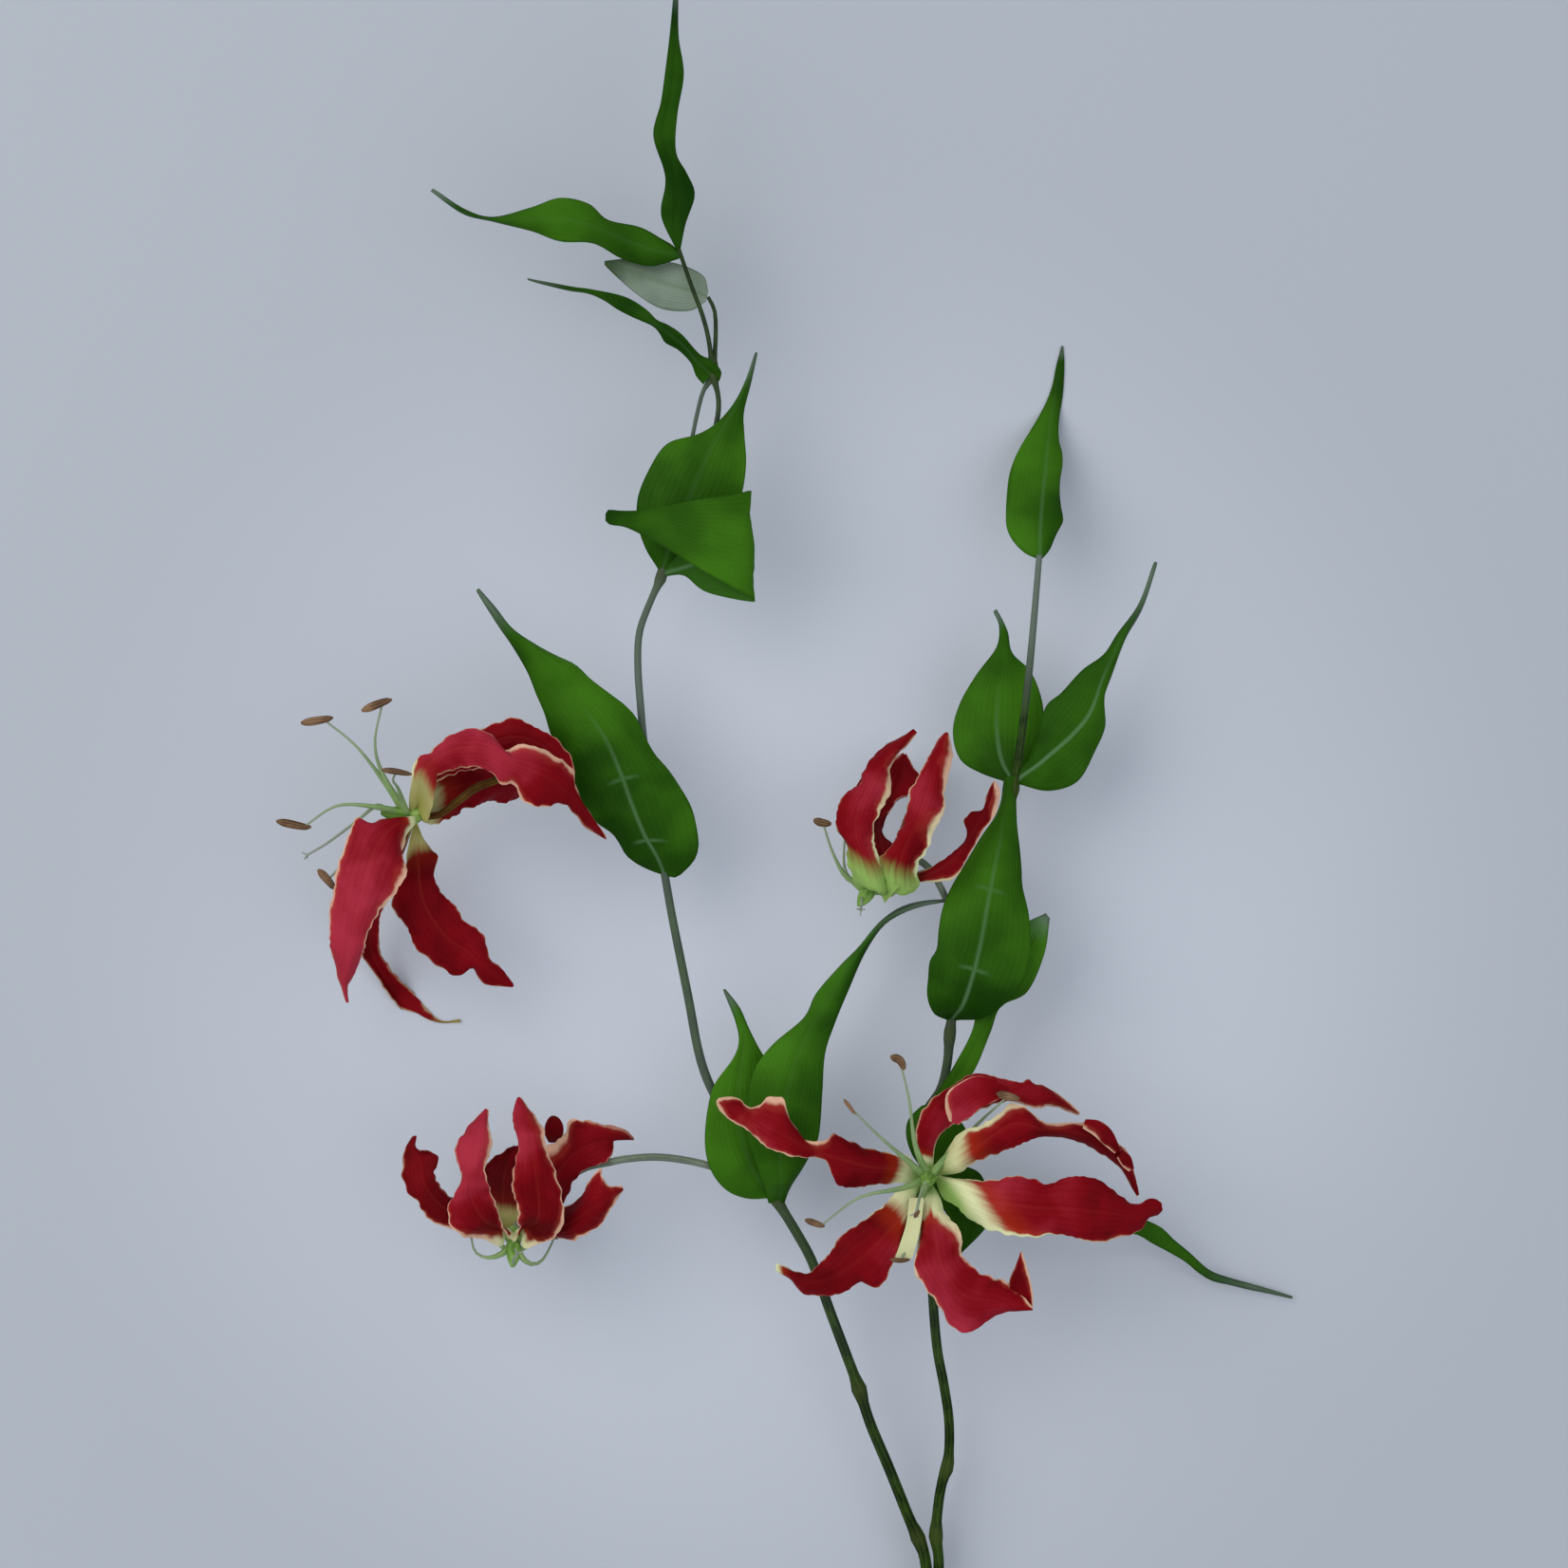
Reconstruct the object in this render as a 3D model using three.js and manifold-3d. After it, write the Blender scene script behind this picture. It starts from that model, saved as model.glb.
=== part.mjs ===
// Glory lily: one cut spray of two leafy branches with four open blooms, lying on a flat surface.
// Millimetres, +Z up. The stems run along Y, with the cut end at -Y and the growing tips at +Y.
import * as THREE from "three";
import Module from "manifold-3d";

// ---------------------------------------------------------------- driving dimensions

// The spray is laid out on a plan, drawn as the eye sees it from straight above, so what stands
// nearer the eye is drawn larger. A plan place is u to the right, v downwards, and a height in mm.
const PLAN_UNIT = 0.3; // mm for one unit of the plan, at PLAN_HEIGHT
const PLAN_HEIGHT = 45;
const PLAN_MIDDLE = 826; // u and v of the point straight under the eye
const EYE_HEIGHT = 1845;
const EYE_FOOT = [-2.5, 56]; // the point under the eye, from the middle of the spray

const BLADE_THICKNESS = 0.7;
const NARROWEST_BLADE = 1.0;
const LEAF_CELL = 9.5; // length of a blade's cells along its rib
const TEPAL_CELL = 6.2;
const CELLS_ACROSS = 4;
const FULL_WAVE_WIDTH = 6; // half width of a blade from which its margins wave fully
const WAVE_START = 0.2; // share of a blade's length over which the wave grows from its base
const LEFT_WAVE_LEAD = 2; // radians between the waves of the two margins

const RECEPTACLE_RADIUS = 2.8; // the knob where a bloom's tepals meet
const TEPAL_RING = 3.45; // radius of the ring of tepal bases, clear of the knob
const TEPAL_BASE_WIDTH = 2.2;
const OVARY = { start: 3.4, length: 8, radii: [1.4, 2.4, 2.4, 1.0] };
const SUNK = 1; // how deep the style and the filaments start inside the ovary
const STYLE_RADIUS = 0.6;
const FILAMENT_RADII = [0.75, 0.45];
const ANTHER_RADII = [0.6, 1.2, 1.2, 0.6];

const STEM_SIDES = 8;
const STALK_SIDES = 6;
const ANTHER_SIDES = 4;
const THREAD_SIDES = 3;

const LEAF_GREEN = { color: 0x2f6e1c, roughness: 0.55, metalness: 0 };
const STEM_GREEN = { color: 0x33401f, roughness: 0.6, metalness: 0 };
const CRIMSON = { color: 0x8f0d1c, roughness: 0.5, metalness: 0 };
const STAMEN_GREEN = { color: 0x8fb06a, roughness: 0.55, metalness: 0 };

const wasm = await Module();
wasm.setup();

// ---------------------------------------------------------------- plan, curves and solids

const vec = (x, y, z) => new THREE.Vector3(x, y, z);

const unitAt = (height) => (PLAN_UNIT * (EYE_HEIGHT - height)) / (EYE_HEIGHT - PLAN_HEIGHT);

/** The place in the part's frame of a plan point. */
function place([u, v, height]) {
  const unit = unitAt(height);
  return vec((u - PLAN_MIDDLE) * unit + EYE_FOOT[0], (PLAN_MIDDLE - v) * unit + EYE_FOOT[1], height);
}

/** The plan point of a place. */
function toPlan({ x, y, z }) {
  return [(x - EYE_FOOT[0]) / unitAt(z) + PLAN_MIDDLE, PLAN_MIDDLE - (y - EYE_FOOT[1]) / unitAt(z), z];
}

/** A smooth curve through the given points. */
const smooth = (points) => new THREE.CatmullRomCurve3(points, false, "catmullrom", 0.5);

/** A closed mesh from vertices and triangles. */
function closedMesh(vertices, triangles) {
  const geometry = new THREE.BufferGeometry();
  const position = vertices.flatMap((point) => [point.x, point.y, point.z]);
  geometry.setAttribute("position", new THREE.Float32BufferAttribute(position, 3));
  geometry.setIndex(triangles);
  return geometry;
}

/** One mesh from several overlapping ones. */
function fused(geometries) {
  const solids = geometries.map((geometry) => {
    const vertProperties = new Float32Array(geometry.getAttribute("position").array);
    const triVerts = new Uint32Array(geometry.index.array);
    return new wasm.Manifold(new wasm.Mesh({ numProp: 3, vertProperties, triVerts }));
  });
  const { vertProperties, triVerts, numProp } = solids.reduce((sum, next) => sum.add(next)).getMesh();
  const vertices = [];
  for (let i = 0; i < vertProperties.length; i += numProp) {
    vertices.push(vec(...vertProperties.slice(i, i + 3)));
  }
  return closedMesh(vertices, Array.from(triVerts));
}

/** A round bar along a smooth path, with radii spread evenly from its start to its end. */
function bar(points, radii, sides, steps) {
  const path = smooth(points).getSpacedPoints(steps);
  const vertices = [];
  const triangles = [];
  let across = null;
  path.forEach((point, i) => {
    const along = path[Math.min(i + 1, steps)].clone().sub(path[Math.max(i - 1, 0)]).normalize();
    if (!across) across = along.clone().cross(Math.abs(along.z) > 0.9 ? vec(0, 1, 0) : vec(0, 0, 1));
    across.addScaledVector(along, -across.dot(along)).normalize();
    const up = across.clone().cross(along);
    const where = (i / steps) * (radii.length - 1);
    const before = Math.floor(where);
    const after = Math.min(before + 1, radii.length - 1);
    const radius = THREE.MathUtils.lerp(radii[before], radii[after], where - before);
    for (let side = 0; side < sides; side++) {
      const turn = ((side + 0.5) / sides) * 2 * Math.PI;
      const spoke = across.clone().multiplyScalar(Math.cos(turn)).addScaledVector(up, Math.sin(turn));
      vertices.push(point.clone().addScaledVector(spoke, radius));
    }
  });
  for (let i = 0; i < steps; i++) {
    for (let side = 0; side < sides; side++) {
      const a = i * sides + side;
      const b = i * sides + ((side + 1) % sides);
      triangles.push(a, a + sides, b, b, a + sides, b + sides);
    }
  }
  const last = steps * sides;
  for (let k = 1; k < sides - 1; k++) triangles.push(0, k, k + 1, last, last + k + 1, last + k);
  return closedMesh(vertices, triangles);
}

/** A small faceted ball. */
function ball(centre, radius) {
  const position = new THREE.IcosahedronGeometry(radius, 1).getAttribute("position");
  const places = new Map();
  const vertices = [];
  const triangles = [];
  for (let i = 0; i < position.count; i++) {
    const point = vec(0, 0, 0).fromBufferAttribute(position, i);
    const key = point.toArray().map((value) => value.toFixed(3)).join();
    if (!places.has(key)) places.set(key, vertices.push(point.add(centre)) - 1);
    triangles.push(places.get(key));
  }
  return closedMesh(vertices, triangles);
}

// ---------------------------------------------------------------- blades

/**
 * A leaf or tepal: a thin waved sheet between its left and right margins, over its rib. All three
 * curves start at the base and end at the tip. Margin points are [u, v, height above the rib].
 * The wave is [mm, ripples along each margin, phase]; what dips under the surface is pressed flat on it.
 */
function blade({ rib, left, right, lift = [0, 0], wave = [0, 0, 0] }, cell) {
  const across = CELLS_ACROSS;
  const ribCurve = smooth(rib.map(([u, v, height]) => vec(u, v, height / PLAN_UNIT)));
  const along = Math.max(5, Math.round((ribCurve.getLength() * PLAN_UNIT) / cell));
  const ribs = ribCurve.getSpacedPoints(along);
  const margins = [left, right].map((points, side) => {
    const atEnd = (n) => n === 0 || n === points.length - 1;
    const rises = points.map(([u, v, rise], n) => vec(u, v, rise ?? (atEnd(n) ? 0 : lift[side])));
    return smooth(rises).getSpacedPoints(along);
  });
  const rows = ribs.map((point, i) => {
    const height = point.z * PLAN_UNIT;
    const middle = place([point.x, point.y, height]);
    const [l, r] = margins.map((margin) => place([margin[i].x, margin[i].y, height + margin[i].z]));
    return { middle, l, r };
  });
  const sheet = rows.map(({ middle, l, r }, i) => {
    const share = i / along;
    const half = r.clone().sub(l).multiplyScalar(0.5);
    const [before, after] = [rows[Math.max(i - 1, 0)], rows[Math.min(i + 1, along)]];
    const step = after.middle.clone().sub(before.middle).normalize();
    if (half.length() < NARROWEST_BLADE / 2) {
      const side = half.lengthSq() > 1e-6 ? half : step.clone().cross(vec(0, 0, 1));
      half.copy(side.normalize().multiplyScalar(NARROWEST_BLADE / 2));
    }
    const bow = l.clone().add(r).multiplyScalar(0.5).sub(middle);
    const normal = half.clone().cross(step).normalize();
    const grown = Math.min(1, half.length() / FULL_WAVE_WIDTH) * Math.min(1, share / WAVE_START);
    return Array.from({ length: across + 1 }, (_, k) => {
      const t = (2 * k) / across - 1;
      const ripple = Math.sin(2 * Math.PI * wave[1] * share + wave[2] + (t < 0 ? LEFT_WAVE_LEAD : 0));
      return middle
        .clone()
        .addScaledVector(half, t)
        .addScaledVector(bow, t * t)
        .addScaledVector(normal, wave[0] * grown * t * t * ripple);
    });
  });
  return thickened(sheet, along, across);
}

/** A closed thin mesh over a grid of points, half its thickness to each side. */
function thickened(sheet, along, across) {
  const at = (i, k) => sheet[Math.max(0, Math.min(along, i))][Math.max(0, Math.min(across, k))];
  const faces = [1, -1].map((side) =>
    sheet.flatMap((row, i) =>
      row.map((point, k) => {
        const normal = at(i, k + 1).clone().sub(at(i, k - 1)).cross(at(i + 1, k).clone().sub(at(i - 1, k)));
        const moved = point.clone().addScaledVector(normal.normalize(), (side * BLADE_THICKNESS) / 2);
        const under = normal.z * side < 0;
        moved.z = Math.max(moved.z, under ? 0 : BLADE_THICKNESS);
        return moved;
      }),
    ),
  );
  const count = faces[0].length;
  const index = (i, k) => i * (across + 1) + k;
  const triangles = [];
  for (let i = 0; i < along; i++) {
    for (let k = 0; k < across; k++) {
      const [a, b, c, d] = [index(i, k), index(i, k + 1), index(i + 1, k + 1), index(i + 1, k)];
      triangles.push(a, b, c, a, c, d);
      triangles.push(count + a, count + c, count + b, count + a, count + d, count + c);
    }
  }
  const rim = [];
  for (let k = 0; k < across; k++) rim.push(index(0, k));
  for (let i = 0; i < along; i++) rim.push(index(i, across));
  for (let k = across; k > 0; k--) rim.push(index(along, k));
  for (let i = along; i > 0; i--) rim.push(index(i, 0));
  rim.forEach((a, n) => {
    const b = rim[(n + 1) % rim.length];
    triangles.push(a, count + a, b, b, count + a, count + b);
  });
  return closedMesh(faces.flat(), triangles);
}

// ---------------------------------------------------------------- leaves

const LEAVES = {
  // Left branch, from the bottom up.
  left_leaf_1: {
    rib: [
      [811, 1264, 31], [790, 1225, 33.6], [778, 1180, 35], [780, 1130, 36], [784, 1095, 37],
      [778, 1070, 38], [763, 1042, 39],
    ],
    left: [
      [809, 1266], [792, 1264], [767, 1255], [750, 1235], [743, 1208], [745, 1172], [753, 1142],
      [772, 1117], [779, 1098], [775, 1075], [762, 1043],
    ],
    right: [
      [813, 1262], [825, 1225, -2], [832, 1175], [815, 1130], [800, 1105], [788, 1082], [779, 1062],
      [764, 1042],
    ],
    lift: [-1, -1], wave: [0.5, 1.5, 0],
  },
  left_leaf_2: {
    rib: [
      [824, 1267, 30.4], [824, 1250, 36.5], [822, 1225, 41.5], [825, 1180, 43], [835, 1130, 44],
      [853, 1085, 44], [880, 1040, 43], [905, 1002, 42], [928, 973, 41], [950, 959, 40], [985, 950, 38],
    ],
    left: [
      [821, 1267], [812, 1250, -1], [796, 1225, -2], [786, 1185], [792, 1135], [812, 1103], [847, 1073],
      [860, 1047], [885, 1018], [905, 998], [926, 973], [948, 957], [985, 948],
    ],
    right: [
      [828, 1267], [835, 1247], [850, 1222], [862, 1198], [866, 1150], [869, 1110], [880, 1077],
      [893, 1045], [910, 1005], [929, 976], [950, 961], [985, 952],
    ],
    lift: [-3, -2], wave: [0.8, 2, 1],
  },
  left_leaf_3: {
    rib: [
      [700, 921, 36], [693, 898, 41], [681, 870, 43], [664, 830, 43], [645, 795, 43], [618, 750, 43],
      [587, 707, 43], [553, 680, 44], [530, 655, 45], [503, 621, 46],
    ],
    left: [
      [697, 921], [675, 913], [657, 897], [645, 878], [622, 850], [607, 825], [598, 800], [582, 777],
      [573, 745], [560, 722], [556, 700], [540, 677], [524, 655], [502, 622],
    ],
    right: [
      [704, 922], [722, 920], [736, 902], [735, 875], [722, 843], [700, 805], [680, 775], [660, 745],
      [630, 722], [600, 698], [565, 680], [540, 663], [522, 640], [504, 620],
    ],
    lift: [-3, -3], wave: [0.9, 2, 2],
  },
  left_leaf_4: {
    rib: [
      [695, 601, 38.9], [712, 560, 43], [730, 515, 44], [748, 475, 44], [768, 440, 44], [785, 405, 45],
      [797, 371, 46],
    ],
    left: [
      [692, 600], [680, 577], [672, 553], [672, 525], [684, 495], [703, 468], [735, 458], [757, 445],
      [775, 425], [786, 402], [796, 372],
    ],
    right: [
      [698, 600], [730, 580], [765, 555], [780, 525], [786, 490], [784, 458], [783, 435], [790, 405],
      [798, 372],
    ],
    lift: [-3, -2], wave: [0.8, 2, 0.5],
  },
  left_leaf_5: {
    rib: [
      [701.5, 605, 38.8], [720, 598, 44], [745, 590, 47], [780, 578, 48.5], [794, 574, 51], [780, 568, 54],
      [740, 560, 54], [690, 549, 52], [638, 545, 50],
    ],
    left: [
      [701.5, 603], [730, 565], [770, 525], [791, 517], [770, 521], [720, 532], [680, 539], [638, 541],
    ],
    right: [
      [702.5, 608], [722, 606], [745, 624], [795, 634], [770, 618], [740, 601], [690, 566], [638, 549],
    ],
    lift: [0, 0],
  },
  left_leaf_6: {
    rib: [
      [750, 396, 44.6], [728, 378, 47.5], [710, 357, 48], [690, 340, 47], [665, 323, 46], [635, 313, 45],
      [600, 304, 44], [556, 294, 42],
    ],
    left: [[743, 401], [728, 385], [705, 368], [692, 347], [668, 332], [635, 318], [600, 306], [556, 295]],
    right: [
      [757, 388], [735, 372], [722, 350], [700, 337], [682, 326], [655, 309], [630, 308], [600, 302],
      [556, 293],
    ],
    lift: [-2, 1], wave: [0.5, 2, 0],
  },
  left_leaf_7: {
    rib: [[744, 311.5, 40.6], [720, 304, 41], [690, 295, 41], [660, 285, 42], [637, 277, 43]],
    left: [[742, 317], [728, 327], [700, 326], [678, 315], [655, 296], [637, 279]],
    right: [[745, 306], [741, 291], [720, 280], [690, 274], [660, 273], [637, 275]],
    lift: [-2, -1], wave: [0.6, 1.5, 0],
  },
  left_leaf_8: {
    rib: [
      [712, 271.5, 47.6], [690, 264, 48], [660, 253, 48], [630, 240, 48], [595, 231, 49], [560, 231, 50],
      [520, 231, 50], [490, 223, 49], [455, 200, 47],
    ],
    left: [
      [711, 274], [685, 280], [655, 272], [625, 256], [590, 254], [560, 243], [520, 233], [488, 225],
      [454, 201],
    ],
    right: [
      [712, 268.5], [700, 255], [675, 240], [640, 232], [620, 215], [590, 209], [560, 219], [520, 229],
      [490, 221], [456, 199],
    ],
    lift: [-3, -2], wave: [0.7, 1.5, 0],
  },
  left_leaf_9: {
    rib: [
      [715, 263.5, 46.9], [711, 238, 48], [713, 205, 50], [707, 170, 51], [699, 140, 52], [708, 90, 52],
      [711, 50, 51], [711, 15, 50], [712, -22, 49],
    ],
    left: [
      [713, 263.5], [697, 228], [701, 195], [699, 178], [688, 142], [697, 105], [703, 60], [707, 20],
      [710, -22],
    ],
    right: [
      [717, 263.5], [722, 235], [732, 205], [724, 183], [712, 160], [713, 120], [720, 78], [715, 40],
      [714, 0], [714, -22],
    ],
    lift: [1, -2], wave: [0.6, 2, 1],
  },
  // Right branch, from the bottom up.
  right_leaf_1: {
    rib: [
      [983.5, 1253, 27], [1020, 1265, 25], [1070, 1277, 23], [1120, 1283, 20], [1170, 1288, 17],
      [1210, 1299, 14], [1245, 1320, 11], [1285, 1346, 7], [1325, 1359, 4], [1362, 1368, 2],
    ],
    left: [
      [984, 1250], [1030, 1253], [1080, 1261], [1130, 1268], [1180, 1277], [1218, 1291], [1255, 1322],
      [1290, 1346], [1325, 1357], [1362, 1367],
    ],
    right: [
      [983.5, 1256], [1020, 1275], [1070, 1292], [1120, 1298], [1170, 1300], [1205, 1307], [1240, 1326],
      [1280, 1349], [1325, 1361], [1362, 1369],
    ],
    lift: [-1, -1], wave: [0.4, 2, 0],
  },
  right_leaf_2: {
    rib: [[984.2, 1243, 36], [1003, 1250, 38.5], [1018, 1268, 39], [1022, 1292, 38], [1011, 1320, 36]],
    left: [[985, 1240], [1008, 1229], [1032, 1236], [1041, 1262], [1040, 1290], [1012, 1321]],
    right: [[984, 1246], [992, 1270], [1008, 1296], [1010, 1319]],
    lift: [-1, -1],
  },
  right_leaf_3: {
    rib: [[978, 1234, 36], [985, 1214, 38.5], [988, 1198, 39], [982, 1180, 38], [972, 1165, 36]],
    left: [[975, 1234], [962, 1218], [955, 1198], [957, 1180], [971, 1165]],
    right: [[981, 1234], [1003, 1224], [1019, 1203], [1010, 1180], [974, 1164]],
    lift: [-1, -1],
  },
  right_leaf_4: {
    rib: [
      [977, 1172, 31.8], [995, 1150, 33.3], [1012, 1125, 33.5], [1030, 1090, 33.3], [1052, 1050, 33],
      [1075, 1010, 33], [1090, 982, 33], [1104, 965, 32.5],
    ],
    left: [
      [974, 1170], [990, 1145], [1004, 1120], [1022, 1084], [1030, 1040], [1050, 1000], [1075, 976],
      [1102, 962],
    ],
    right: [
      [979, 1174], [1003, 1152], [1022, 1128], [1040, 1088], [1052, 1060], [1082, 1045], [1100, 1005],
      [1106, 967],
    ],
    lift: [0, -1], wave: [0.4, 1.5, 0],
  },
  right_leaf_5: {
    rib: [
      [1003, 1074, 32.8], [1011, 1060, 38.5], [1018, 1040, 41], [1028, 1005, 42.5], [1038, 960, 42.5],
      [1047, 915, 41.5], [1055, 870, 40], [1063, 838, 38.6],
    ],
    left: [
      [999, 1075], [984, 1067], [977, 1035], [982, 1012], [989, 985], [992, 953], [1008, 915], [1035, 877],
      [1054, 852], [1061, 837],
    ],
    right: [
      [1007, 1075], [1040, 1070, -1.5], [1070, 1045, -2], [1085, 1010], [1084, 968], [1075, 930],
      [1076, 908], [1070, 870], [1066, 837],
    ],
    lift: [-3, -3], wave: [0.9, 2.5, 0],
  },
  right_leaf_6: {
    rib: [
      [1067, 824, 32.4], [1055, 800, 30], [1050, 765, 28], [1052, 725, 28], [1057, 690, 29],
      [1057, 665, 30], [1048, 643, 31],
    ],
    left: [
      [1064, 825], [1035, 815], [1012, 800], [1004, 772], [1011, 742], [1028, 712], [1050, 683],
      [1053, 660], [1047, 644],
    ],
    right: [
      [1070, 822], [1085, 805], [1098, 770], [1098, 740], [1086, 708], [1066, 688], [1061, 665],
      [1050, 642],
    ],
    lift: [-2, -1], wave: [0.6, 1.5, 0],
  },
  right_leaf_7: {
    rib: [
      [1075, 823, 37], [1098, 803, 38], [1128, 773, 38], [1152, 740, 38], [1165, 705, 39], [1182, 672, 40],
      [1202, 638, 40], [1218, 592, 39],
    ],
    left: [
      [1074, 820], [1086, 795], [1096, 765], [1103, 743], [1118, 730], [1140, 706], [1163, 690],
      [1178, 668], [1200, 637], [1216, 592],
    ],
    right: [
      [1077, 827], [1105, 833], [1135, 823], [1153, 792], [1164, 765], [1162, 738], [1171, 710],
      [1185, 673], [1204, 640], [1219, 593],
    ],
    lift: [-2, -3], wave: [0.9, 2, 0],
  },
  right_leaf_8: {
    rib: [
      [1095, 588, 33.6], [1093, 560, 30], [1091, 525, 24], [1093, 490, 16], [1099, 457, 7], [1106, 432, 0],
      [1112, 412, -1], [1117, 385, -1], [1119, 365, -1],
    ],
    left: [
      [1092, 588], [1070, 574], [1060, 545], [1062, 503], [1076, 467], [1098, 437], [1107, 412],
      [1112, 390], [1117, 365],
    ],
    right: [
      [1098, 588], [1109, 571], [1119, 548], [1118, 515], [1119, 480], [1115, 455], [1118, 428],
      [1120, 395], [1121, 365],
    ],
    lift: [-1, -1], wave: [0.5, 2, 0],
  },
};

// ---------------------------------------------------------------- blooms

/**
 * Each bloom: the middle of the ring where its tepals meet, the way its mouth faces, and its tepals.
 * A tepal's turn is its base's angle round the ring, from +Y round towards facing x +Y.
 */
const BLOOMS = {
  bloom_1: {
    centre: [438, 858, 46],
    facing: [-0.9, 0.05, 0.35],
    tepals: [
      {
        turn: 315,
        rib: [
          [450, 820, 57], [480, 792, 63], [515, 791, 66], [550, 808, 66], [585, 825, 62], [612, 850, 57],
          [638, 883, 53],
        ],
        left: [
          [447, 803], [460, 789], [480, 775], [500, 768], [518, 774], [532, 792], [550, 784], [575, 792],
          [603, 810], [608, 833], [620, 856], [638, 881],
        ],
        right: [
          [455, 825], [478, 813], [500, 806], [515, 812], [530, 829], [545, 827], [557, 845], [573, 849],
          [590, 843], [605, 857], [620, 874], [637, 884],
        ],
        lift: [-4, -3], wave: [1.0, 3, 0],
      },
      {
        turn: 5,
        rib: [
          [455, 815, 46], [480, 795, 50], [515, 783, 52], [545, 776, 53], [575, 788, 53], [605, 817, 53],
        ],
        left: [
          [450, 805], [475, 783], [500, 772], [520, 763], [540, 757], [560, 764], [583, 777], [600, 795],
          [606, 815],
        ],
        right: [[458, 825], [490, 812], [530, 806], [565, 806], [590, 811], [604, 819]],
        lift: [-2, -1], wave: [1.0, 2.5, 1],
      },
      {
        turn: 60,
        rib: [
          [462, 845, 41], [490, 841, 39], [520, 836, 34], [545, 832, 27], [560, 828, 18], [566, 825, 10],
        ],
        left: [[460, 832], [485, 816], [515, 812], [540, 815], [560, 818], [568, 822]],
        right: [[459, 859], [478, 861], [500, 851], [520, 846], [538, 850], [550, 842], [565, 829]],
        lift: [1, 0], wave: [0.8, 2.5, 0],
      },
      {
        turn: 240,
        rib: [
          [418, 868, 56], [398, 888, 61], [386, 920, 63], [375, 960, 62], [367, 1000, 58], [362, 1030, 52],
          [366, 1056, 46],
        ],
        left: [
          [428, 880], [425, 903], [427, 923], [417, 940], [398, 962], [387, 985], [382, 1005], [373, 1025],
          [366, 1040], [367, 1056],
        ],
        right: [
          [405, 864], [390, 868], [376, 860], [365, 888], [357, 910], [352, 935], [347, 965], [350, 995],
          [354, 1022], [360, 1042], [365, 1056],
        ],
        lift: [-3, -3], wave: [1.0, 3, 0],
      },
      {
        turn: 115,
        rib: [
          [420, 882, 36], [403, 922, 30], [392, 965, 22], [391, 1000, 12], [408, 1033, 3],
          [432, 1059, -0.6], [462, 1076, -0.4], [485, 1075, 0.6],
        ],
        left: [
          [430, 885], [415, 925], [401, 965], [400, 1000], [413, 1023], [436, 1047], [463, 1074],
          [485, 1074],
        ],
        right: [
          [410, 880], [390, 925], [381, 970], [380, 1003], [398, 1030], [420, 1060], [438, 1067],
          [460, 1077], [485, 1077],
        ],
        lift: [0, 0], wave: [0.6, 3, 0],
      },
      {
        turn: 180,
        rib: [
          [440, 885, 41], [441, 915, 40], [447, 952, 38], [468, 985, 36], [492, 1003, 34], [514, 1022, 32],
          [541, 1039, 30],
        ],
        left: [
          [447, 886], [462, 906], [455, 922], [460, 943], [480, 955], [488, 971], [508, 982], [515, 1008],
          [530, 1024], [541, 1037],
        ],
        right: [
          [431, 888], [426, 920], [413, 952], [428, 980], [440, 999], [462, 1017], [480, 1030],
          [498, 1021], [514, 1038], [540, 1040],
        ],
        lift: [-2, -2], wave: [1.0, 3, 1],
      },
    ],
    style: [[398, 848, 52], [372, 868, 50], [345, 888, 47], [325, 900, 45]],
    stamens: [
      {
        filament: [[405, 824, 54], [375, 786, 58]],
        anther: [[317, 762, 60], [341, 758, 60], [351, 756, 60]],
      },
      {
        filament: [[403, 815, 56], [395, 782, 62]],
        anther: [[381, 749, 66], [403, 740, 66], [413, 737, 66]],
      },
      {
        filament: [[395, 850, 54], [355, 849, 53]],
        anther: [[291, 865, 49], [320, 871, 50], [328, 871, 50]],
      },
      {
        filament: [[420, 832, 60], [414, 822, 68]],
        anther: [[402, 811, 75], [418, 813, 75], [434, 816, 75]],
      },
      {
        filament: [[405, 872, 46], [375, 898, 46]],
        anther: [[335, 916, 47], [345, 927, 47], [353, 937, 47]],
      },
      {
        filament: [[412, 868, 38], [400, 878, 28]],
        anther: [[376, 880, 19], [386, 890, 20], [396, 900, 20]],
      },
    ],
  },
  bloom_2: {
    centre: [541, 1300, 42],
    facing: [0, -0.85, 0.5],
    tepals: [
      {
        turn: 90,
        rib: [
          [510, 1298, 44], [485, 1283, 45], [462, 1268, 45], [446, 1245, 44], [442, 1222, 42],
          [434, 1206, 40], [437, 1197, 38],
        ],
        left: [
          [500, 1301], [475, 1293], [452, 1284], [438, 1266], [427, 1250], [425, 1225], [429, 1206],
          [435, 1197],
        ],
        right: [
          [510, 1288], [490, 1270], [466, 1252], [456, 1236], [461, 1221], [454, 1213], [439, 1211],
          [439, 1197],
        ],
        lift: [-2, 2], wave: [1.0, 2.5, 0],
      },
      {
        turn: 25,
        rib: [
          [513, 1288, 56], [497, 1262, 62], [497, 1235, 65], [501, 1207, 63], [505, 1187, 59],
          [513, 1169, 54],
        ],
        left: [
          [503, 1303], [480, 1293], [472, 1273], [484, 1250], [485, 1236], [481, 1215], [487, 1197],
          [499, 1181], [512, 1168],
        ],
        right: [
          [527, 1300], [525, 1275], [515, 1250], [511, 1230], [514, 1214], [519, 1203], [512, 1186],
          [515, 1170],
        ],
        lift: [-3, -2], wave: [0.9, 2.5, 0],
      },
      {
        turn: 330,
        rib: [
          [566, 1285, 58], [567, 1255, 64], [562, 1222, 66], [559, 1197, 63], [553, 1176, 59],
          [547, 1156, 55],
        ],
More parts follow.
